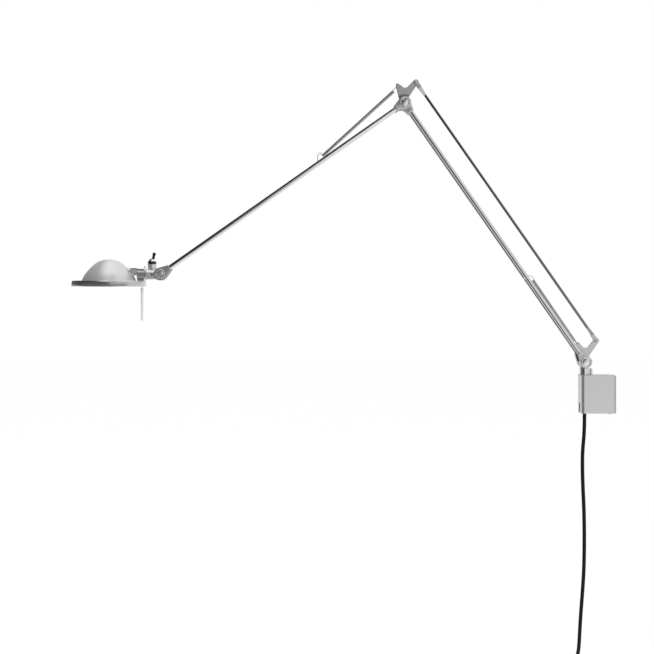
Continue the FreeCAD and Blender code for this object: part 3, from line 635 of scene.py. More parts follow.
def smooth(piece: Piece, degrees: float = 32.0) -> Piece:
    """Shades a piece smooth up to an angle.

    Args:
        piece: The piece.
        degrees: Edges sharper than this stay sharp.

    Returns:
        The piece.
    """
    only(piece)
    bpy.ops.object.shade_smooth_by_angle(angle=math.radians(degrees))
    return piece


def eased(corners: Sequence[tuple[float, float, float]], steps: int = 3) -> Profile:
    """A profile with rounded corners.

    The rounding in each corner says where its centre stands and which way its two ends lie; the
    line round every centre is drawn 1 mm from it, because the spokes are unit vectors.

    Args:
        corners: Each corner's radius from the axis, height and rounding, 0 for a sharp one.
        steps: Edges in each rounding.

    Returns:
        The profile's points.
    """
    points: Profile = []
    for i, (r, z, ease) in enumerate(corners):
        if ease <= 0 or i in (0, len(corners) - 1):
            points.append((r, z))
            continue
        here = Vector((r, z))
        back = (Vector(corners[i - 1][:2]) - here).normalized()
        onward = (Vector(corners[i + 1][:2]) - here).normalized()
        half = back.angle(onward) / 2
        start, end = here + back * ease / math.tan(half), here + onward * ease / math.tan(half)
        centre = here + (back + onward).normalized() * ease / math.sin(half)
        for k in range(steps + 1):
            spoke = (start - centre).slerp(end - centre, k / steps, Vector((0, 1)))
            points.append(tuple(centre + spoke))
    return points


def flowing(points: Profile, steps: int = 6) -> Profile:
    """A smooth line through points, level at its last point, which lies on the axis.

    Args:
        points: The points to pass.
        steps: Parts of each span.

    Returns:
        The denser profile.
    """
    spread = [Vector(p) for p in points]
    spread = [spread[0] * 2 - spread[1]] + spread + [Vector((-points[-2][0], points[-2][1]))]
    line: Profile = []
    for a, b, c, d in zip(spread, spread[1:], spread[2:], spread[3:]):
        for k in range(steps):
            t = k / steps
            line.append(tuple(0.5 * (2 * b + (c - a) * t + (2 * a - 5 * b + 4 * c - d) * t**2
                                     + (3 * b - a - 3 * c + d) * t**3)))
    return line + [points[-1]]


def traced(name: str, points: Profile, depth: float) -> Piece:
    """A vertex drawn along points of the XZ plane; it is left in edit mode, all selected.

    Args:
        name: The piece's name.
        points: X and Z of each point, in millimetres.
        depth: The plane's Y, in millimetres.

    Returns:
        The line, as a mesh.
    """
    deselect()
    bpy.ops.mesh.primitive_plane_add(size=MM)
    piece = named(name)
    edit()
    bpy.ops.mesh.merge(type="CENTER")
    here = mm(points[0][0], depth, points[0][1])
    bpy.ops.transform.translate(value=here)
    for x, z in points[1:]:
        there = mm(x, depth, z)
        bpy.ops.mesh.extrude_region_move(TRANSFORM_OT_translate={"value": there - here})
        here = there
    bpy.ops.mesh.select_all(action="SELECT")
    return piece


def turned(name: str, profile: Profile, place: Vector = Vector(), axis: Vector = UP,
           steps: int = 48, degrees: float = 32.0) -> Piece:
    """A turned piece: a vertex is drawn along the profile and spun about the axis.

    Args:
        name: The piece's name.
        profile: Radius and height of each point, in millimetres.
        place: Where the profile's origin goes, in metres.
        axis: Which way its height points.
        steps: Parts of the full turn.
        degrees: Shading angle.

    Returns:
        The piece.
    """
    piece = traced(name, profile, 0.0)
    bpy.ops.mesh.spin(steps=steps, angle=2 * math.pi, center=(0, 0, 0), axis=UP)
    closed(SEAM_WELD)
    return smooth(settled(piece, place, axis), degrees)


def bar(name: str, size: Vector, place: Vector) -> Piece:
    """A block, its size and place given in metres.

    Args:
        name: The block's name.
        size: Its size along each axis.
        place: Its middle.

    Returns:
        The block.
    """
    deselect()
    bpy.ops.mesh.primitive_cube_add(size=1.0)
    piece = named(name)
    edit()
    bpy.ops.transform.resize(value=size)
    bpy.ops.transform.translate(value=place)
    deselect()
    return piece


def slab(name: str, corners: Profile, low: float, high: float) -> Piece:
    """A plate: an outline is drawn edge by edge, filled and extruded along Y.

    Args:
        name: The piece's name.
        corners: The outline's points in the XZ plane, in millimetres.
        low: Where the plate begins along Y, in millimetres.
        high: Where it ends.

    Returns:
        The plate.
    """
    piece = traced(name, corners, low)
    bpy.ops.mesh.edge_face_add()
    bpy.ops.mesh.extrude_region_move(TRANSFORM_OT_translate={"value": mm(0, high - low, 0)})
    closed()
    return piece


def bevelled(piece: Piece, width: float, segments: int = 3, degrees: float = 30.0) -> Piece:
    """Rounds a piece's sharp edges.

    Args:
        piece: The piece.
        width: The rounding's width, in millimetres.
        segments: Its edges.
        degrees: Edges sharper than this are rounded.

    Returns:
        The piece, shaded smooth.
    """
    modified(piece, "BEVEL", width=width * MM, segments=segments, limit_method="ANGLE",
             angle_limit=math.radians(degrees), harden_normals=False)
    return smooth(piece)


def combined(piece: Piece, other: Piece, how: Boolean = Boolean.CUT) -> Piece:
    """Cuts one piece by another, or unites them; the other is used up.

    Args:
        piece: The piece that stays.
        other: The piece that goes.
        how: What is done with it.

    Returns:
        The piece that stays.
    """
    modified(piece, "BOOLEAN", operation=how.value, solver="EXACT", object=other)
    bpy.data.objects.remove(other)
    return piece


def joined(name: str, pieces: Iterable[Piece]) -> Piece:
    """Several pieces made one mesh.

    Args:
        name: Its name.
        pieces: The pieces, the first of which takes in the others.

    Returns:
        The mesh.
    """
    deselect()
    pieces = list(pieces)
    for piece in pieces:
        piece.select_set(True)
    bpy.context.view_layer.objects.active = pieces[0]
    bpy.ops.object.join()
    return named(name)


def copied(piece: Piece, name: str, change: Matrix) -> Piece:
    """A copy with its own mesh.

    Args:
        piece: The piece to copy.
        name: The copy's name.
        change: How the copy is moved or mirrored.

    Returns:
        The copy.
    """
    only(piece)
    bpy.ops.object.duplicate(linked=False)
    copy = named(name)
    placed(copy, change @ copy.matrix_world)
    if change.determinant() < 0:
        edit()
        closed()
    return copy


def paired(name: str, piece: Piece) -> Piece:
    """A piece and its mirror image across the lamp's middle plane, made one mesh."""
    return joined(name, [piece, copied(piece, f"{name}_mirrored", Matrix.Scale(-1, 4, ALONG_Y))])


def nurbs(name: str, points: Sequence[Vector], radius: float, sides: int = 4, fine: int = 6) -> Piece:
    """A round line that flows along its control points.

    Args:
        name: The piece's name.
        points: Control points, in metres.
        radius: Its radius, in metres.
        sides: A quarter of the sides of its section.
        fine: Steps between control points.

    Returns:
        The curve.
    """
    deselect()
    bpy.ops.curve.primitive_nurbs_path_add()
    piece = named(name)
    curve = piece.data
    curve.splines.clear()
    spline = curve.splines.new("NURBS")
    spline.points.add(len(points) - 1)
    for control, point in zip(spline.points, points):
        control.co = (*point, 1.0)
    spline.order_u = 3
    spline.use_endpoint_u = True
    spline.resolution_u = fine
    curve.resolution_u = fine
    curve.render_resolution_u = fine
    curve.bevel_depth = radius
    curve.bevel_resolution = sides
    curve.use_fill_caps = True
    return piece


def bent_wire(name: str, points: Sequence[Vector], radius: float, sides: int = 2, fine: int = 4) -> Piece:
    """A bent round wire as a mesh.

    Args:
        name: Its name.
        points: Control points, in metres.
        radius: The wire's radius, in millimetres.
        sides: A quarter of the sides of its section.
        fine: Steps between control points.

    Returns:
        The wire.
    """
    only(nurbs(name, points, radius * MM, sides, fine))
    bpy.ops.object.convert(target="MESH")
    piece = named(name)
    edit()
    closed(WELD)
    return smooth(piece, 50.0)


# ---- Sub-assemblies ------------------------------------------------------------------------
@dataclass
class SubAssembly:
    """What all sub-assemblies share: fitting pieces to a body, and dressing its solids."""

    body: str

    def fit(self, piece: Piece, finish: Finish, slot: str, *stands_for: str) -> Piece:
        """Gives a new piece its finish and its body.

        Args:
            piece: The piece, in place.
            finish: Its finish.
            slot: The record's material slot for it; not used.
            stands_for: The solids it replaces.

        Returns:
            The piece.
        """
        piece.data.materials.clear()
        piece.data.materials.append(finish.made())
        if "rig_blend" not in piece:
            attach(piece, self.body)
        if stands_for:
            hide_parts(*stands_for)
        log.info("%s: %s in %s", self.body, piece.name, finish.name)
        return piece

    def dress(self, finish: Finish, *nodes: str) -> None:
        """Gives solids a finish.

        Args:
            finish: The finish.
            nodes: The solids' names.
        """
        for node in nodes:
            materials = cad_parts[node].data.materials
            for i in range(len(materials)):
                materials[i] = finish.made()
            log.info("%s: %s in %s", self.body, node, finish.name)

    def build(self) -> None:
        """Makes the sub-assembly's pieces."""
        raise NotImplementedError


@dataclass
class Flex(SubAssembly):
    """The cord from the box down to its put-away coil, with its tie, tail and plug."""

    body: str = "wall_box"
    diameter: float = 5.5
    length: float = 1873.0
    centre: tuple[float, float, float] = (-53.7, 8.0, -434.0)
    outer: float = 43.0
    pitch: float = 6.0
    layer_turns: float = 10 / 3
    start: float = -60.0
    climb: float = 21.9
    per_turn: int = 16
    tail_end: tuple[float, float, float] = (-56.7, 51.8, -471.5)
    tail_shares: tuple[float, float] = (0.35, 0.7)
    tail_inside: float = 2.0
    plug_length: float = 36.0
    grip: tuple[float, float, float] = (1.4, 8.5, 2.0)
    grip_place: tuple[float, float] = (16.6, 17.5)
    grip_pitch: float = 3.6
    rib_from: float = -15.4
    rib_pitch: float = 3.2
    rib_radius: float = 3.4
    rib_growth: float = 0.28
    pin_pitch: float = 18.6

    # The control points from the box to the coil, in metres
    ROUTE = (
        (-0.0428, 0.0, -0.028), (-0.0428, 0.0, -0.055), (-0.0456, 0.0004, -0.083),
        (-0.0459, 0.0, -0.110), (-0.0451, -0.0005, -0.140), (-0.0436, 0.0, -0.168),
        (-0.0429, 0.0006, -0.200), (-0.0431, 0.0002, -0.231), (-0.0439, -0.0003, -0.260),
        (-0.0456, 0.0, -0.288), (-0.0477, 0.0004, -0.315), (-0.0496, 0.0003, -0.345),
        (-0.0504, 0.0021, -0.3695), (-0.0507, 0.0102, -0.3852), (-0.0507, 0.0248, -0.3939),
    )
    # Height, width and depth
    PLUG_SECTIONS = ((0, 15, 9), (4, 19, 11.5), (9, 25, 13.2), (16, 32, 13.6), (24, 34.6, 13.6),
                     (31, 35.2, 13.6), (36, 35.2, 13.6))

    def coil_point(self, turn: float, radius: float, x: float) -> Vector:
        """A control point of the coil.

        Args:
            turn: Angle from the coil's +Y side downwards, in radians.
            radius: Radius of the line there, in millimetres.
            x: Offset of the layer, in millimetres.

        Returns:
            The point, in metres, set out so that the line itself has that radius.
        """
        step = 2 * math.pi / self.per_turn
        reach = radius / (0.75 + 0.25 * math.cos(step))
        cx, cy, cz = self.centre
        return mm(cx + x, cy + reach * math.cos(turn), cz - reach * math.sin(turn))

    def coil(self) -> list[Vector]:
        """The coil's control points: one layer inwards, a change of layer, one outwards.

        Returns:
            The points, in metres.
        """
        begin, layer = math.radians(self.start), self.layer_turns * 2 * math.pi
        grow, step = self.pitch / (2 * math.pi), 2 * math.pi / self.per_turn
        inner, half = self.outer - self.layer_turns * self.pitch, self.pitch / 2
        count = round(layer / step)
        points = []
        for i in range(count + 1):
            points.append(self.coil_point(begin + i * step, self.outer - grow * i * step, half))
        for i in range(1, self.per_turn // 2):
            share = i / (self.per_turn / 2)
            dip = (inner - self.climb) * math.sin(math.pi * share)
            turn = begin + layer + math.pi * share
            points.append(self.coil_point(turn, inner - dip, half * math.cos(math.pi * share)))
        begin += layer + math.pi
        for i in range(count + 1):
            points.append(self.coil_point(begin + i * step, inner + grow * i * step, -half))
        return points

    def build(self) -> None:
        """Lays the cord, and makes the plug on its end."""
        points = [Vector(p) for p in self.ROUTE] + self.coil()
        end, last = mm(*self.tail_end), points[-1]
        way = (end - last).normalized()
        points += [last.lerp(end, share) for share in self.tail_shares] + [end + way * self.tail_inside * MM]
        cord = nurbs("flex_cord", points, self.diameter / 2 * MM, 5, 8)
        self.fit(cord, BLACK_RUBBER, "black_rubber", "cord_hang", "cord_coil", "cord_tail")
        self.dress(BLACK_PLASTIC, "coil_tie", "cord_grommet")
        plug = self.plug(end, way)
        prongs, sleeves = self.pins(end, way)

    def plug(self, end: Vector, way: Vector) -> Piece:
        """The plug's body with its grips and its ribbed sleeve on the cord.

        Args:
            end: Where the cord enters it, in metres.
            way: Which way its pins point.

        Returns:
            The plug, in place.
        """
        deselect()
        bpy.ops.mesh.primitive_plane_add(size=1.0)
        body = named("plug_shell")
        edit()
        height, width, depth = self.PLUG_SECTIONS[0]
        bpy.ops.transform.resize(value=mm(width, depth, 1))
        for z, wide, deep in self.PLUG_SECTIONS[1:]:
            bpy.ops.mesh.extrude_region_move(TRANSFORM_OT_translate={"value": mm(0, 0, z - height)})
            bpy.ops.transform.resize(value=(wide / width, deep / depth, 1), center_override=mm(0, 0, z))
            height, width, depth = z, wide, deep
        closed(WELD)
        body = bevelled(body, 1.6, 4, 40.0)
        grips, (grip_x, grip_z) = [], self.grip_place
        for side in Side:
            for i in range(4):
                place = mm(side.value * grip_x, 0, grip_z + self.grip_pitch * i)
                grips.append(bevelled(bar("plug_grip", mm(*self.grip), place), 0.5, 2))
        ribs = [(3.0, -17, 0), (3.35, -17, 0.2)]
        for i in range(5):
            low, wide = self.rib_from + self.rib_pitch * i, self.rib_radius + self.rib_growth * i
            ribs += [(wide, low, 0.2), (wide, low + 2.0, 0.2), (wide - 0.5, low + 2.2, 0.1),
                     (wide - 0.4, low + 3.0, 0.1)]
        sleeve = turned("plug_sleeve", eased(ribs + [(5.2, 0.6, 0.2), (5.2, 1.0, 0)], 2), steps=24)
        plug = joined("plug_shell", [body, sleeve] + grips)
        return self.fit(settled(plug, end, way), BLACK_PLASTIC, "black_plastic", "plug_body")

    def pins(self, end: Vector, way: Vector) -> tuple[Piece, Piece]:
        """The plug's two nickel pins, and the sleeves round their roots.

        Args:
            end: Where the cord enters the plug, in metres.
            way: Which way the pins point.

        Returns:
            The pins and the sleeves, in place.
        """
        base, half = self.plug_length, self.pin_pitch / 2
        pin = [(0, base - 2, 0), (1.9, base - 2, 0), (1.9, base + 10, 0.05), (2.0, base + 10.1, 0.05),
               (2.0, base + 19, 1.2), (0, base + 19, 0)]
        sleeve = [(1.9, base - 0.5, 0), (3.0, base - 0.5, 0), (3.0, base + 0.4, 0.2), (2.0, base + 0.6, 0.1),
                  (1.98, base + 10, 0.1), (1.85, base + 10, 0)]
        made = []
        for name, corners in (("plug_prongs", pin), ("plug_pin_sleeves", sleeve)):
            one = turned(name, eased(corners), steps=24)
            other = copied(one, name, Matrix.Translation(mm(half, 0, 0)))
            both = joined(name, [settled(one, mm(-half, 0, 0)), other])
            made.append(settled(both, end, way))
        return (self.fit(made[0], NICKEL_PINS, "brass_pins", "plug_pins"),
                self.fit(made[1], BLACK_PLASTIC, "black_plastic"))


@dataclass
class WallBox(SubAssembly):
    """The box on the wall with its plate, its screws and what it holds."""

    body: str = "wall_box"
    bottom: float = -28.0
    screw_x: float = -8.0
    screw_y: float = 10.2
    screw_radius: float = 2.3
    head: float = 1.2
    terminals_x: float = -14.6
    terminals_y: tuple[float, float] = (-5.0, 5.0)
    terminals_z: tuple[float, float] = (-10.0, 6.0)

    def build(self) -> None:
        """Dresses the box and makes its screws."""
        self.dress(BOX_PAINT, "box_shell")
        self.dress(PLATE_PAINT, "wall_plate")
        self.dress(BRONZE, "spindle_bushes")
        self.dress(BRIGHT_STEEL, "stop_pin")
        self.dress(WHITE_PLASTIC, "terminal_block")
        self.dress(BLACK_RUBBER, "box_leads")
        self.fit(self.screws(), BRIGHT_STEEL, "bright_steel", "box_screws")
        self.fit(self.terminal_screws(), NICKEL_PINS, "brass_pins")

    def screws(self) -> Piece:
        """The two pan-head screws in the bottom, with cross recesses.

        Returns:
            Both screws.
        """
        corners = [(0, 8, 0), (1.0, 8, 0.2), (1.0, 0, 0), (self.screw_radius, 0, 0.1),
                   (self.screw_radius - 0.2, -self.head + 0.3, 0.35), (0, -self.head, 0)]
        screw = turned("box_screw_heads", eased(corners), steps=32)
        for size in (mm(2.6, 0.55, 1.4), mm(0.55, 2.6, 1.4)):
            screw = combined(screw, bar("recess", size, mm(0, 0, -self.head)))
        place = mm(self.screw_x, self.screw_y, self.bottom)
        other = copied(screw, "far_screw", Matrix.Translation(place))
        place.y = -place.y
        return smooth(joined("box_screw_heads", [settled(screw, place), other]))

    def terminal_screws(self) -> Piece:
        """The slotted screws of the terminal block.

        Returns:
            The four screws.
        """
        corners = [(0, 1.9, 0), (1.6, 1.9, 0), (1.6, 0.35, 0.2), (0, 0.3, 0)]
        screw = turned("terminal_screws", eased(corners), steps=24)
        screw = combined(screw, bar("slot", mm(4, 0.5, 1.0), mm(0, 0, 0.4)))
        screw = settled(screw, axis=ALONG_X)
        copies = []
        for y in self.terminals_y:
            for z in self.terminals_z:
                place = Matrix.Translation(mm(self.terminals_x, y, z))
                copies.append(copied(screw, "terminal_copy", place))
        bpy.data.objects.remove(screw)
        return joined("terminal_screws", copies)


@dataclass
class PivotCaps(SubAssembly):
    """The two domed caps over a pivot's pin: a round bead, a groove and a low dome."""

    body: str
    node: str = ""
    x: float = 0.0
    z: float = 0.0
    inner: float = 13.0
    radius: float = 6.8
    bead: float = 0.75
    crown: float = 1.8
    dome_radius: float = 6.2
    dome_steps: int = 10
    metallic: float = 0.9

    def build(self) -> None:
        """Makes the near and the far cap."""
        dome, foot = self.dome_radius, self.bead - 0.08
        profile = eased([(0, 0, 0), (self.radius, 0, 0), (self.radius, self.bead, 0.35),
                         (dome + 0.2, self.bead + 0.12, 0.15), (dome, foot, 0)])
        for i in range(1, self.dome_steps + 1):
            r = dome * (1 - i / self.dome_steps)
            profile.append((r, foot + (self.crown - foot) * (1 - (r / dome) ** 2)))
        name, place = self.node.replace("caps", "cap_domes"), mm(self.x, self.inner, self.z)
        caps = paired(name, turned(name, profile, place, ALONG_Y, degrees=40.0))
        finish = Turned(f"{self.node}_turned", grey(0.74), 0.26, self.metallic, x=self.x, z=self.z)
        self.fit(caps, finish, "bright_steel", self.node)


@dataclass
class EndFittings(SubAssembly):
    """The two fittings on one end of an arm: each a flat hub that tapers to the tube's socket."""

    body: str
    node: str = ""
    pivot: tuple[float, float] = (0.0, 0.0)
    angle: float = 0.0
    hub: float = 9.3
    inner: float = 3.3
    outer: float = 12.8
    face: float = 13.5
    tail_half: float = 4.05
    tail_end: float = 17.0
    socket_from: float = 12.0
    bore: float = 3.05
    taper_ends: tuple[float, float] = (17.0, 17.0)
    inset: float = 0.02
    arc_steps: int = 22

    def touch(self, taper_end: float) -> float:
        """The angle from the arm at which a taper's side that ends there touches the hub."""
        corner = math.hypot(taper_end, self.tail_half)
        return math.atan2(self.tail_half, taper_end) + math.acos(self.hub / corner)

    def one(self) -> Piece:
        """The fitting on the +Y side in the arm's own frame.

        Returns:
            The fitting.
        """
        above, below = self.taper_ends
        begin, finish = self.touch(below), 2 * math.pi - self.touch(above)
        end, half = self.tail_end, self.tail_half
        outline = [(above, -half), (end, -half), (end, half), (below, half)]
        for i in range(self.arc_steps + 1):
            spoke = begin + (finish - begin) * i / self.arc_steps
            outline.append((self.hub * math.cos(spoke), self.hub * math.sin(spoke)))
        if above == end:
            outline.pop(0)
        if below == end:
            outline.remove((below, half))
        plate = slab(self.node, outline, self.inner, self.outer)
        hole = turned("bore", [(0, -1), (self.bore, -1), (self.bore, 20), (0, 20)], Vector(), ALONG_Y, 32)
        plate = bevelled(combined(plate, hole), 0.5, degrees=40.0)
        start, end, half = self.socket_from, end - self.inset, half - self.inset
        corners = [(start, -half), (end, -half), (end, half), (start, half)]
        tail = slab("tail", corners, self.inner + self.inset, self.face)
        return joined(self.node, [plate, bevelled(tail, 0.6)])

    def build(self) -> None:
        """Makes both fittings and sets them on the arm."""
        pair = paired(self.node.replace("cheeks", "fittings"), self.one())
        placed(pair, stand(mm(self.pivot[0], 0, self.pivot[1]), self.angle))
        self.fit(smooth(pair, 40.0), CAST_GREY, "cast_grey", self.node)


@dataclass
class Spring(SubAssembly):
    """A close-wound extension spring from a bracket's horn to a cross pin in the arm's tubes."""

    body: str
    name: str = ""
    line: ArmLine = LOWER_LINE
    start: tuple[float, float] = (32.7, 7.6)
    end: tuple[float, float] = (140.8, 7.6)
    arch: tuple[tuple[float, float], ...] = ()
    pin: float = 150.6
    horn_x: float = -10.0
    horn_z: float = 26.6
    bracket_body: str = ""
    radius: float = 2.05
    wire: float = 0.5
    pitch: float = 1.13
    eye_radius: float = 1.6
    eye_from: float = 50.0
    eye_step: float = 38.0
    eye_pitch: float = 0.13
    steps: int = 14
    bend_share: float = 0.42

    def build(self) -> None:
        """Winds the spring, bends its two hooks and sets its cross pin."""
        start = self.line.at(self.start[0], 0, self.start[1])
        end = self.line.at(self.end[0], 0, self.end[1])
        way = (end - start).normalized()
        above = Vector((way.z, 0, -way.x))
        turn = Matrix((above, way.cross(above), way)).transposed().to_4x4()
        turns = round((end - start).length / (self.pitch * MM))
        coil = placed(self.coil(turns, (end - start).length / turns), Matrix.Translation(start) @ turn)
        hook = self.horn_hook(start, way, above)
        arch = self.arch_hook(end, way, above)
        spring = joined(f"{self.name}_spring_coil", [coil, hook, arch])
        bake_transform(spring, self.bracket_body, self.body, start, start.lerp(end, self.bend_share))
        self.fit(smooth(spring, 60.0), SPRING_STEEL, "spring_steel", f"{self.name}_spring")
        corners = [(0, -7.2, 0), (1.9, -7.2, 0), (1.9, -6.2, 0.2), (1.0, -6.0, 0.1), (1.0, 6.0, 0.1),
                   (1.9, 6.2, 0.2), (1.9, 7.2, 0), (0, 7.2, 0)]
        pin = turned(f"{self.name}_spring_pin", eased(corners), self.line.at(self.pin), ALONG_Y, 24)
        self.fit(pin, BRIGHT_STEEL, "bright_steel", f"{self.name}_spring_bail")

    def coil(self, turns: int, pitch: float) -> Piece:
        """The curls along +Z, made by a screw modifier on the wire's section.

        Args:
            turns: How many.
            pitch: The height of each, in metres.

        Returns:
            The curls, their middle line on the Z axis.
        """
        deselect()
        upright = (math.radians(90), 0, 0)
        bpy.ops.mesh.primitive_circle_add(vertices=6, radius=self.wire * MM, rotation=upright)
        coil = named(f"{self.name}_curls")
        edit()
        bpy.ops.transform.translate(value=mm(self.radius, 0, 0))
        placed(coil, coil.matrix_world.copy())
        modified(coil, "SCREW", axis="Z", angle=2 * math.pi, screw_offset=pitch, iterations=turns,
                 steps=self.steps, render_steps=self.steps)
        edit()
        closed(WELD)
        return coil

    def horn_hook(self, start: Vector, way: Vector, above: Vector) -> Piece:
        """The hook from the first curl through the hole in the bracket's short horn.

        Args:
            start: The coil's first end.
            way: Along the coil.
            above: Square to the coil, away from the arm.

        Returns:
            The hook.
        """
        across = way.cross(above)
        hole = mm(self.line.x + self.horn_x, 0, self.line.z + self.horn_z)
        reach = (start - hole).normalized()
        edge = start + above * (self.radius * MM)
        local = ((0.0, 0.0, 0.0), (-0.7, -0.25, 0.0), (-0.9, -1.2, -0.1))
        points = [edge + across * (a * MM) + way * (w * MM) + above * (u * MM) for a, w, u in local]
        points.append(points[-1].lerp(hole + reach * 5.0 * MM, 0.6))
        for along, side in ((4.6, 0.6), (3.2, 2.6), (1.2, 3.4), (0.0, 3.3), (0.0, 2.7), (0.0, -2.7),
                            (0.0, -3.3), (0.9, -3.5), (2.0, -3.3)):
            points.append(hole + reach * (along * MM) + ALONG_Y * (side * MM))
        return bent_wire("horn_hook", points, self.wire)

    def arch_hook(self, end: Vector, way: Vector, above: Vector) -> Piece:
        """The arch from the last curl down to an eye round the cross pin.

        Args:
            end: The coil's last end.
            way: Along the coil.
            above: Square to the coil, away from the arm.

        Returns:
            The arch.
        """
        across = way.cross(above)
        edge = end + above * (self.radius * MM)
        points = [edge, edge + across * 0.6 * MM + way * 0.3 * MM + above * 0.05 * MM]
        points += [self.line.at(along, 0, high) for along, high in self.arch]
        for i in range(9):
            turn, eye = math.radians(self.eye_from - self.eye_step * i), self.eye_radius
            side = self.eye_pitch * i - 0.5
            points.append(self.line.at(self.pin + eye * math.cos(turn), side, eye * math.sin(turn)))
        return bent_wire("arch_hook", points, self.wire)


@dataclass
class Swivel(SubAssembly):
    """The spindle in the box, the base bracket and its pivot."""

    body: str = "swivel"

    def build(self) -> None:
        """Dresses the swivel."""
        self.dress(UPRIGHT_STEEL, "spindle")
        self.dress(SPRING_STEEL, "spindle_clip")
        self.dress(CAST_GREY, "base_bracket")
        self.dress(BRIGHT_STEEL, "base_pin")
        self.dress(NYLON, "base_washers")
        PivotCaps(self.body, "base_caps", LOWER_LINE.x, LOWER_LINE.z).build()


@dataclass
class LowerArm(SubAssembly):
    """The lower arm's tubes, end fittings, strip and spring."""

    body: str = "lower_arm"

    def build(self) -> None:
        """Dresses the arm and makes its spring."""
        self.dress(LOWER_TUBE, "lower_tube_far", "lower_tube_near")
        self.dress(BLACK_RUBBER, "lower_lead")
        base, elbow = (LOWER_LINE.x, LOWER_LINE.z), (UPPER_LINE.x, UPPER_LINE.z)
        EndFittings(self.body, "foot_cheeks", base, LOWER_LINE.angle, hub=8.9).build()
        EndFittings(self.body, "lower_elbow_cheeks", elbow, LOWER_LINE.angle + 180, outer=7.5).build()
        self.fit(self.strip(), BLACK_RUBBER, "black_rubber", "stop_buffer")
        arch = ((142.8, 8.9), (145.6, 8.6), (148.8, 6.4), (150.9, 3.8), (151.9, 2.0))
        Spring(self.body, "lower", LOWER_LINE, (32.7, 5.3), (140.8, 6.4), arch, 150.6,
               bracket_body="swivel").build()

    def strip(self) -> Piece:
        """The rubber strip along the foot's lower side."""
        strip = slab("foot_strip", [(6.6, 7.0), (16.6, 3.9), (17.1, 5.5), (7.1, 8.8)], -9.0, -3.0)
        return bevelled(placed(strip, stand(LOWER_LINE.at(0), LOWER_LINE.angle)), 0.5)


@dataclass
class LinkRod(SubAssembly):
    """The rod beside the lower arm, its forks and its rivets."""

    body: str = "rod"
    horn_x: float = 17.2
    horn_z: float = 31.0
    fork_out: float = 4.2
    radius: float = 1.2
    rod_length: float = 418.0

    def build(self) -> None:
        """Dresses the rod and makes the rivets of its forks."""
        way, r, long, out = LOWER_LINE.way, self.radius, self.rod_length, self.fork_out
        base = mm(LOWER_LINE.x + self.horn_x, 0, LOWER_LINE.z + self.horn_z)
        start = base + way * ((LOWER_LINE.length - long) / 2) * MM
        profile = eased([(0, 0, 0), (r, 0, 0.2), (r, long, 0.2), (0, long, 0)])
        self.fit(turned("link_bar", profile, start, way, 24), ROD_STEEL, "rod_steel", "link_rod")
        self.dress(CAST_GREY, "rod_forks")
        corners = [(0, 0, 0), (1.1, 0, 0), (1.1, out, 0), (1.6, out, 0.1), (1.6, out + 0.35, 0.25),
                   (0, out + 0.6, 0)]
        low = paired("low_rivet", turned("rod_rivets", eased(corners), base, ALONG_Y, 24))
        high = copied(low, "high_rivet", Matrix.Translation(way * LOWER_LINE.length * MM))
        self.fit(joined("rod_rivets", [low, high]), CAST_GREY, "bright_steel", "rod_pins")


@dataclass
class Elbow(SubAssembly):
    """The elbow's bracket and pivot."""

    body: str = "elbow"
    bracket_half: float = 2.5
    collar_inner: float = 9.45
    collar_reach: float = 12.6
    collar_top: float = 6.9
    collar_edge: float = 0.45
    sunk: float = 0.2
    sector: tuple[float, float] = (56.0, 129.0)
    flare_steps: int = 8

    def build(self) -> None:
        """Dresses the elbow."""
        self.dress(CAST_GREY, "elbow_bracket")
        self.dress(BRIGHT_STEEL, "elbow_pin")
        self.dress(NYLON, "elbow_washers")
        # The collars' near-black finish paints the shade above the hub
        self.fit(self.collars(), COLLAR_PAINTED_SHADE, "cast_grey")
        PivotCaps(self.body, "elbow_caps", UPPER_LINE.x, UPPER_LINE.z).build()

    def collars(self) -> Piece:
        """The two hollow collars that rise from the bracket's faces above the hub; their near-black finish is
        painted shade.

        Returns:
            Both collars, in place.
        """
        foot, top, inner, outer = self.bracket_half, self.collar_top, self.collar_inner, self.collar_reach
        section = [(inner, foot - self.sunk), (outer, foot - self.sunk)]
        for i in range(self.flare_steps + 1):
            turn = math.radians(90 * i / self.flare_steps)
            reach = outer - (outer - inner - self.collar_edge) * math.sin(turn)
            section.append((reach, top - (top - foot) * math.cos(turn)))
        section.append((inner, top))
        collar = traced("elbow_collars", section, 0.0)
        bpy.ops.mesh.edge_face_add()
        span = math.radians(self.sector[1] - self.sector[0])
        bpy.ops.mesh.spin(steps=20, angle=span, center=(0, 0, 0), axis=UP)
        closed()
        angles = [math.atan2(vertex.co.y, vertex.co.x) for vertex in collar.data.vertices]
        turn = -math.radians(sum(self.sector) / 2) - (min(angles) + max(angles)) / 2
        lay = Matrix(((1, 0, 0), (0, 0, 1), (0, -1, 0))).to_4x4()
        placed(collar, Matrix.Translation(UPPER_LINE.at(0)) @ lay @ Matrix.Rotation(turn, 4, "Z"))
        return smooth(paired("elbow_collars", collar), 40.0)


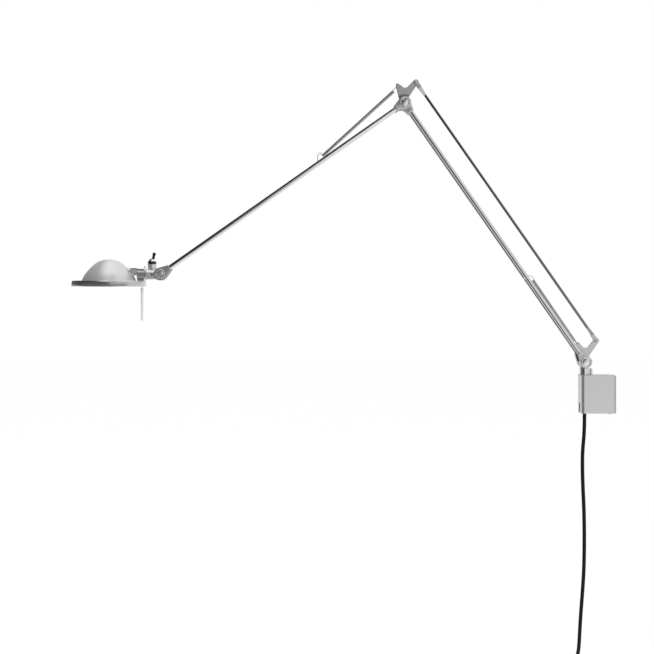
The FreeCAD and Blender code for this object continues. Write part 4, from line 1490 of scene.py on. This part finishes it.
@dataclass
class UpperArm(SubAssembly):
    """The upper arm's tubes, end fittings, spring and the head's pivot."""

    body: str = "upper_arm"

    def build(self) -> None:
        """Dresses the arm and makes its spring."""
        self.dress(UPPER_TUBE, "upper_tube_far", "upper_tube_near")
        self.dress(BLACK_RUBBER, "upper_lead")
        elbow, head = (UPPER_LINE.x, UPPER_LINE.z), (HEAD_PIVOT.x / MM, HEAD_PIVOT.z / MM)
        EndFittings(self.body, "upper_elbow_cheeks", elbow, UPPER_LINE.angle, inner=7.8,
                    taper_ends=(17.0, 12.0)).build()
        EndFittings(self.body, "head_cheeks", head, UPPER_LINE.angle + 180, inner=8.2).build()
        self.dress(BRIGHT_STEEL, "head_pin")
        arch = ((140.2, 9.6), (142.6, 11.9), (146.0, 10.6), (149.6, 7.2), (151.9, 3.8), (152.7, 2.0))
        start, end = self.in_line(-321.4, 441.4), self.in_line(-425.1, 346.8)
        Spring(self.body, "upper", UPPER_LINE, start, end, arch, 151.2, bracket_body="elbow").build()
        PivotCaps(self.body, "head_caps", *head, metallic=0.8).build()

    def in_line(self, x: float, z: float) -> tuple[float, float]:
        """A point of the lamp's plane as distances along and above the arm."""
        gap = Vector((x - UPPER_LINE.x, 0, z - UPPER_LINE.z))
        return gap.dot(UPPER_LINE.way), gap.dot(UPPER_LINE.above)


@dataclass
class Neck(SubAssembly):
    """The neck behind the head, with its set screw and the body of the toggle switch."""

    body: str = "neck"
    x: float = -674.0
    z: float = 174.0
    barrel_radius: float = 8.0
    switch_radius: float = 5.7
    switch_from: float = 178.6
    switch_to: float = 189.0
    nut_radius: float = 6.3
    nut_turn: float = 9.0
    nut_top: float = 192.5
    collar_foot: float = 5.3
    collar_head: float = 3.15
    collar_top: float = 195.8
    pocket: float = 2.6
    pocket_floor: float = 186.6
    set_screw_x: float = -673.6

    def build(self) -> None:
        """Dresses the neck and makes the switch's body, nut and collar."""
        self.dress(NECK_SATIN, "neck_barrel")
        self.fit(self.switch_barrel(), SWITCH_NICKEL, "bright_steel", "switch_body")
        self.fit(self.nut(), BLACK_PLASTIC, "black_plastic", "switch_nut")
        self.fit(self.collar(), BRIGHT_STEEL, "bright_steel")
        corners = [(0, -0.6, 0), (1.1, -0.6, 0), (1.1, 0.15, 0.12), (0.6, 0.17, 0.05), (0.55, -0.4, 0),
                   (0, -0.4, 0)]
        place = mm(self.set_screw_x, -self.barrel_radius + 0.05, self.z)
        screw = turned("neck_set_screw", eased(corners), place, -ALONG_Y, 24)
        self.fit(screw, SPRING_STEEL, "spring_steel")

    def switch_barrel(self) -> Piece:
        """The switch's round body with a groove under the nut and the lever's pocket.

        Returns:
            The body, in place.
        """
        r, low, top, floor = self.switch_radius, self.switch_from, self.switch_to, self.pocket_floor
        corners = [(0, low, 0), (r, low, 0), (r, top - 0.9, 0.2), (r - 0.5, top - 0.8, 0.1),
                   (r - 0.5, top, 0), (self.pocket, top, 0), (self.pocket, floor, 0), (0, floor, 0)]
        return turned("switch_barrel", eased(corners, 2), mm(self.x, 0, 0))

    def nut(self) -> Piece:
        """The black hexagon nut with chamfered corners.

        Returns:
            The nut, in place.
        """
        deselect()
        height = self.nut_top - self.switch_to
        bpy.ops.mesh.primitive_cylinder_add(vertices=6, radius=self.nut_radius * MM, depth=height * MM)
        turn = Matrix.Rotation(math.radians(self.nut_turn - 30), 4, "Z")
        middle = mm(self.x, 0, (self.nut_top + self.switch_to) / 2)
        nut = bevelled(placed(named("switch_hex_nut"), Matrix.Translation(middle) @ turn), 0.4)
        bore, low, high = self.pocket + 0.3, self.switch_to - 2.0, self.nut_top + 5.5
        outline = [(0, low), (bore, low), (bore, high), (0, high)]
        return smooth(combined(nut, turned("nut_hole", outline, mm(self.x, 0, 0), steps=32)))

    def collar(self) -> Piece:
        """The bright cone over the nut, from which the lever comes.

        Returns:
            The collar, in place.
        """
        seat, top, bore = self.nut_top, self.collar_top, self.pocket
        wide, head = self.collar_foot, self.collar_head
        corners = [(bore, seat - 0.3, 0), (wide, seat - 0.3, 0), (wide, seat + 0.3, 0.3),
                   (head + 0.5, top - 0.7, 1.2), (head, top, 0.3), (bore, top, 0.2), (bore, seat - 0.3, 0)]
        return turned("switch_collar", eased(corners, 4), mm(self.x, 0, 0))


@dataclass
class Lever(SubAssembly):
    """The toggle switch's lever, with a round end."""

    body: str = "lever"
    x: float = -674.0
    z: float = 189.0
    tilt: float = 11.5
    ball: float = 2.0
    thin: float = 0.95
    thick: float = 1.9
    neck: float = 1.6
    waist: float = 7.0
    length: float = 16.3

    def build(self) -> None:
        """Makes the lever: a ball in the switch, a thin neck and a thicker rounded end."""
        ball, thin, thick, waist, top = self.ball, self.thin, self.thick, self.waist, self.length
        corners = [(0, -ball, 0), (ball, -ball, 1.2), (ball, ball, 1.2), (thin, ball + 0.4, 0.4),
                   (thin, waist, 0.3), (self.neck, waist + 0.6, 0.3), (thick - 0.1, top - 5.0, 1.0),
                   (thick, top - 2.0, 0.5), (thick - 0.1, top - 0.5, 0.4), (thick - 0.6, top, 0.3),
                   (0, top, 0)]
        turn = math.radians(self.tilt)
        way = Vector((math.sin(turn), 0, math.cos(turn)))
        lever = turned("toggle_lever", eased(corners, 4), mm(self.x, 0, self.z), way, 24)
        self.fit(lever, BLACK_PLASTIC, "black_plastic", "switch_lever")


@dataclass
class Head(SubAssembly):
    """The round head: rim, dome, reflector, glass, lamp and handle."""

    body: str = "head"
    x: float = -737.1
    # The rim measures 54.0; the roundings of its edge add the rest
    rim_radius: float = 53.35
    rim_bottom: float = 156.9
    rim_top: float = 163.8
    window: float = 35.5
    wall: float = 1.8
    stem_z: float = 177.8
    notch: float = 6.2
    lamp_z: float = 176.0
    handle_x: float = -688.6
    handle_bottom: float = 106.9
    handle_radius: float = 1.3
    handle_neck: float = 1.05
    bar_end: float = 42.0
    dome_notch_x: float = -718.0
    bowl_notch_x: float = -719.0
    socket_x: float = -713.0
    envelope_x: float = -724.0
    filament_x: float = -748.0
    filament_radius: float = 1.1
    filament_half: float = 6.0
    filament_quarters: int = 48
    dome_wall: float = 1.2
    bowl_wall: float = 0.6
    bowl_notch: float = 7.0
    pane_radius: float = 37.0
    pane_low: float = 163.9
    pane_high: float = 165.9

    # Radius and height over the rim's top
    DOME = ((39.8, 0.0), (35.0, 9.7), (27.6, 18.6), (20.1, 25.3), (12.7, 29.8), (0.0, 32.2))
    BOWL = ((36.2, 3.5), (31.4, 8.8), (24.5, 16.3), (17.6, 22.0), (10.8, 26.0), (0.0, 28.4))

    def build(self) -> None:
        """Dresses the head's fittings and makes its round pieces."""
        self.dress(BRIGHT_STEEL, "roll_flange")
        self.dress(COVER_PAINT, "holder_cover")
        self.dress(NECK_SATIN, "holder_stem")
        self.dress(BLOCK_STEEL, "holder_block")
        self.fit(self.dome(), HEAD_PAINT, "head_paint", "dome")
        self.fit(self.rim(), RIM_STEEL, "head_paint", "rim_ring")
        self.fit(self.bowl(), REFLECTOR_BRIGHT, "inner_reflector", "reflector")
        self.fit(self.pane(), CLEAR_GLASS, "clear_glass", "lens_glass")
        self.lamp()
        self.fit(self.handle(), HANDLE_SATIN, "rod_steel", "handle_pin")

    def shell(self, name: str, outline: Sequence[tuple[float, float]], wall: float, steps: int) -> Piece:
        """A spun bowl: its outline over the rim's top, its wall inwards, and its turning steps."""
        bowl = turned(name, flowing(outline), mm(self.x, 0, self.rim_top), steps=steps)
        return modified(bowl, "SOLIDIFY", thickness=wall * MM, offset=-1, use_even_offset=True)

    def notch_cutter(self, radius: float, inner_x: float) -> Piece:
        """What is cut from a bowl where the stem comes in: a round bar with an open bottom.

        Args:
            radius: The bar's radius, in millimetres.
            inner_x: Where its inner end stands.

        Returns:
            The cutter.
        """
        right = self.x + self.bar_end
        bar_length = right - inner_x
        deselect()
        middle = mm((right + inner_x) / 2, 0, self.stem_z)
        bpy.ops.mesh.primitive_cylinder_add(vertices=48, radius=radius * MM, depth=bar_length * MM,
                                            location=middle, rotation=(0, math.radians(90), 0))
        cutter = named("notch_cutter")
        bpy.ops.object.transform_apply(location=True, rotation=True, scale=True)
        foot = self.stem_z - self.rim_top + 3
        block = bar("notch_foot", mm(bar_length, 2 * radius, foot), middle - mm(0, 0, foot / 2))
        return combined(cutter, block, Boolean.UNITE)

    def dome(self) -> Piece:
        """The spun dome with its notch, its edges slightly rounded."""
        dome = self.shell("dome_shell", self.DOME, self.dome_wall, 128)
        return bevelled(combined(dome, self.notch_cutter(self.notch, self.dome_notch_x)), 0.2, 2, 50.0)

    def rim(self) -> Piece:
        """The rim: an upright band with a web inwards to the window, and the handle's boss.

        Returns:
            The rim, in place.
        """
        r, low, top, wall = self.rim_radius, self.rim_bottom, self.rim_top, self.wall
        hole, web = self.window, self.rim_top - self.wall
        corners = [(hole + 3, top, 0), (r - 0.9, top, 0.05), (r, top - 0.8, 0.5), (r, low + 0.4, 0.35),
                   (r - 0.5, low, 0.15), (r - wall, low, 0.3), (r - wall, web, 0.6), (hole + 1.4, web, 0.3),
                   (hole + 1.2, web - 0.5, 0.2), (hole, web - 0.5, 0.2), (hole, top, 0.3), (hole + 3, top, 0)]
        rim = turned("rim_band", eased(corners, 4), mm(self.x, 0, 0), steps=160)
        bore = self.handle_neck + 0.03
        corners = [(bore, low + 0.2, 0), (3.0, low + 0.2, 0.3), (3.0, top - 1, 0), (bore, top - 1, 0),
                   (bore, low + 0.2, 0)]
        boss = turned("handle_boss", eased(corners), mm(self.handle_x, 0, 0), steps=32)
        return joined("rim_band", [rim, boss])

    def bowl(self) -> Piece:
        """The reflector inside the dome, with its wider notch."""
        bowl = self.shell("reflector_bowl", self.BOWL, self.bowl_wall, 96)
        return smooth(combined(bowl, self.notch_cutter(self.bowl_notch, self.bowl_notch_x)), 20.0)

    def pane(self) -> Piece:
        """The round glass over the window.

        Returns:
            The glass, in place.
        """
        r, low, high = self.pane_radius, self.pane_low, self.pane_high
        corners = [(0, low, 0), (r, low, 0.3), (r, high, 0.3), (0, high, 0)]
        return turned("glass_pane", eased(corners), mm(self.x, 0, 0), steps=96)

    def lamp(self) -> None:
        """The capsule lamp: its ceramic holder, glass envelope, filament and the filament's two legs."""
        place = mm(self.socket_x, 0, self.lamp_z)
        corners = [(0, 0, 0), (6.5, 0, 0.4), (6.5, 7.6, 0.3), (5.4, 7.8, 0.2), (5.4, 11, 0.4), (0, 11, 0)]
        holder = turned("lamp_socket", eased(corners), place, -ALONG_X)
        self.fit(holder, CERAMIC, "ceramic", "lampholder")
        place = mm(self.envelope_x, 0, self.lamp_z)
        corners = [(0, 0, 0), (4.2, 0, 0.4), (4.2, 7, 1.5), (6.5, 12, 3.0), (6.5, 33, 4.0), (2.0, 37.3, 1.5),
                   (0, 38, 0)]
        envelope = turned("lamp_envelope", eased(corners, 6), place, -ALONG_X)
        self.fit(envelope, CLEAR_GLASS, "clear_glass", "bulb")
        centre = mm(self.filament_x, 0, self.lamp_z)
        half, r, points = self.filament_half, self.filament_radius, []
        for i in range(self.filament_quarters + 1):
            turn, along = math.radians(90 * i), 2 * half * i / self.filament_quarters - half
            points.append(centre + mm(along, r * math.cos(turn), r * math.sin(turn)))
        wires = [bent_wire("filament", points, 0.16, 1, 2)]
        for first, steps in ((points[0], ((-7, 2.6), (12, 2.6), (20, 1.6))),
                             (points[-1], ((7, -2.4), (12, -2.6), (20, -1.6)))):
            leg = [first] + [centre + mm(x, y, 0) for x, y in steps]
            wires.append(bent_wire("leg", leg, 0.25, 1))
        self.fit(joined("lamp_filament", wires), TUNGSTEN, "spring_steel")

    def handle(self) -> Piece:
        """The straight handle under the rim, thinner where it enters.

        Returns:
            The handle, in place.
        """
        r, low, neck, foot = self.handle_radius, self.handle_bottom, self.handle_neck, self.rim_bottom
        corners = [(0, low, 0), (r, low, 0.5), (r, foot - 3.2, 0.25), (neck, foot - 2.8, 0.2),
                   (neck, foot + 4, 0.1), (0, foot + 4, 0)]
        return turned("handle_rod", eased(corners), mm(self.handle_x, 0, 0), steps=32)


# ---- Studio --------------------------------------------------------------------------------
@dataclass(frozen=True)
class Softbox:
    """One soft lamp: its place and what it points at, in metres, its size and its power."""

    name: str
    place: tuple[float, float, float]
    target: tuple[float, float, float]
    size: float
    watts: float


@dataclass(frozen=True)
class Card:
    """A card that only gloss sees, even or graded along X, or along X less a share of Z.

    Its middle and facing direction are in metres; its tones are pairs of a place on the grade and
    a brightness.
    """

    name: str
    place: tuple[float, float, float]
    facing: tuple[float, float, float]
    wide: float
    high: float
    tones: tuple[tuple[float, float], ...]
    lean: float = 0.0


@dataclass
class Studio:
    """A white room: camera, floor, even world light, soft lamps and reflector cards, in metres."""

    camera_place: tuple[float, float, float] = (-0.4579, -1.923, 0.1516)
    lens: float = 72.5
    sensor: float = 36.0
    shift: tuple[float, float] = (0.041, -0.057)
    ambient: float = 0.55
    floor_z: float = -0.60
    floor_glow: float = 1.06
    floor_share: float = 0.88
    lamps: tuple[Softbox, ...] = (
        Softbox("key_lamp", (0.9, -2.6, 2.0), (-0.35, 0, 0.2), 1.6, 42.0),
        Softbox("top_lamp", (-0.6, -0.4, 2.6), (-0.5, 0, 0.2), 1.8, 22.0),
    )
    cards: tuple[Card, ...] = (
        Card("dark_card_left", (-3.0, -0.9, 2.9), (1, 0, 0), 6.6, 7.2, ((0.0, 0.02),)),
        Card("dark_card_back", (-2.3, 2.4, 0.42), (0, -1, 0), 3.4, 0.76, ((0.0, 0.10),)),
        Card("light_card_left", (-2.95, 1.5, -0.27), (1, 0, 0), 1.9, 0.62, ((0.0, 0.85),)),
        Card("dim_card_back", (-2.65, 2.4, 2.75), (0, -1, 0), 2.7, 3.9, ((0.0, 0.30),)),
        Card("graded_card_front", (-0.2, -4.2, 2.4), (0, 1, 0), 5.6, 6.2,
             ((-3.0, 0.03), (-1.1, 0.04), (-0.8, 0.12), (-0.3, 0.70), (0.3, 0.90), (2.6, 0.90)), 0.75),
        Card("grey_card_right", (2.6, -0.6, 1.2), (-1, 0, 0), 7.2, 4.0, ((0.0, 0.80),)),
        Card("dark_card_floor", (-2.2, -2.0, -0.57), (0, 0, 1), 3.4, 4.4, ((-3.0, 0.10), (-0.5, 0.16))),
        Card("light_panel_top", (-0.7, -0.75, 2.5), (0, 0, -1), 0.6, 4.9, ((0.0, 1.2),)),
        Card("dark_card_top", (0.0, -2.0, 2.5), (0, 0, -1), 0.8, 2.4, ((0.0, 0.10),)),
        Card("rim_card_right", (-0.46, -0.48, -0.01), (-1, 1, 0), 0.64, 0.37, ((0.0, 0.15),)),
        Card("rim_card_middle", (-0.93, -0.68, -0.01), (0.11, 1, 0), 0.50, 0.37, ((0.0, 0.17),)),
        Card("rim_card_left", (-1.27, -0.38, -0.01), (0.95, 0.31, 0), 0.58, 0.37, ((0.0, 0.17),)),
    )

    def camera(self) -> None:
        """The camera at the photograph's viewing angle."""
        deselect()
        bpy.ops.object.camera_add(location=self.camera_place, rotation=(math.radians(90), 0, 0))
        camera = named("camera")
        camera.data.lens = self.lens
        camera.data.sensor_width = self.sensor
        camera.data.shift_x, camera.data.shift_y = self.shift
        camera.data.clip_end = 60.0
        bpy.context.scene.camera = camera

    def world(self) -> None:
        """White to the camera, gloss and glass, and a level light to everything else."""
        world = bpy.data.worlds.new("white_room")
        world.use_nodes = True
        bpy.context.scene.world = world
        graph = Graph(world.node_tree)
        seen = self.seen(graph)
        level = graph.value("ShaderNodeBackground", {}, {"Color": WHITE, "Strength": self.ambient})
        white = graph.value("ShaderNodeBackground", {}, {"Color": WHITE, "Strength": 1.0})
        mixed = graph.value("ShaderNodeMixShader", {}, {0: seen, 1: level, 2: white})
        graph.node("ShaderNodeOutputWorld", {}, {"Surface": mixed})

    def seen(self, graph: Graph) -> Wire:
        """1 for rays from the camera, from gloss or through glass.

        Args:
            graph: The material's or the world's graph.

        Returns:
            The share, 0 or 1.
        """
        rays = [graph.value("ShaderNodeLightPath", {}, {}, f"Is {kind} Ray")
                for kind in ("Camera", "Glossy", "Transmission")]
        return rays[0].at_least(rays[1]).at_least(rays[2])

    def floor(self) -> None:
        """A pale floor below the cord's plug; it keeps shadows and is white to the camera."""
        deselect()
        bpy.ops.mesh.primitive_plane_add(size=24.0, location=(0, 0, self.floor_z))
        floor = named("floor")
        material, graph = new_material("pale_floor")
        matt = graph.value("ShaderNodeBsdfDiffuse", {}, {"Color": (*grey(0.92), 1)})
        glow = graph.value("ShaderNodeEmission", {}, {"Color": WHITE, "Strength": self.floor_glow})
        share = self.seen(graph) * self.floor_share
        mixed = graph.value("ShaderNodeMixShader", {}, {0: share, 1: matt, 2: glow})
        graph.node("ShaderNodeOutputMaterial", {}, {"Surface": mixed})
        floor.data.materials.append(material)

    def lamp(self, box: Softbox) -> None:
        """Sets up one soft lamp.

        Args:
            box: The lamp.
        """
        deselect()
        place = Vector(box.place)
        turn = (Vector(box.target) - place).to_track_quat("-Z", "Y").to_euler()
        bpy.ops.object.light_add(type="AREA", location=place, rotation=turn)
        lamp = named(box.name)
        lamp.data.shape = "DISK"
        lamp.data.size = box.size
        lamp.data.energy = box.watts
        lamp.visible_camera = lamp.visible_glossy = lamp.visible_transmission = False

    def card(self, card: Card) -> None:
        """Sets up one reflector card, even or graded.

        Args:
            card: The card.
        """
        deselect()
        bpy.ops.mesh.primitive_plane_add(size=1.0)
        piece = named(card.name)
        edit()
        bpy.ops.transform.resize(value=(card.wide, card.high, 1))
        deselect()
        normal = Vector(card.facing).normalized()
        wide = ALONG_X if abs(normal.z) > 0.5 else UP.cross(normal)
        turn = Matrix((wide, normal.cross(wide), normal)).transposed().to_4x4()
        placed(piece, Matrix.Translation(Vector(card.place)) @ turn)
        material, graph = new_material(card.name)
        low, high = card.tones[0][0], card.tones[-1][0]
        spread = max(high - low, 1.0)
        where = {0: graph.place()}
        x, z = (graph.value("ShaderNodeSeparateXYZ", {}, where, axis) for axis in "XZ")
        share = (x - z * card.lean - low) * (1.0 / spread)
        peak = max(tone for _, tone in card.tones)
        stops = [((at - low) / spread, (tone / peak,) * 3) for at, tone in card.tones]
        ramp = graph.value("ShaderNodeValToRGB", {"stops": stops}, {0: share})
        glow = graph.value("ShaderNodeEmission", {}, {"Color": ramp, "Strength": peak})
        graph.node("ShaderNodeOutputMaterial", {}, {"Surface": glow})
        piece.data.materials.append(material)
        material.cycles.emission_sampling = "NONE"
        piece.visible_camera = piece.visible_diffuse = False
        piece.visible_transmission = piece.visible_shadow = False

    def build(self) -> None:
        """Sets up the whole studio but the camera, and plain colour management."""
        self.world()
        self.floor()
        for box in self.lamps:
            self.lamp(box)
        for card in self.cards:
            self.card(card)
        bpy.context.scene.view_settings.view_transform = "Standard"


def main() -> None:
    """Builds the lamp's looks and the studio."""
    logging.basicConfig(level=logging.INFO, format="%(name)s: %(message)s")
    studio = Studio()
    studio.camera()
    parts = (Flex(), WallBox(), Swivel(), LowerArm(), LinkRod(), Elbow(), UpperArm(), Neck(), Lever(), Head())
    for part in parts:
        part.build()
    studio.build()


if __name__ == "__main__":
    main()
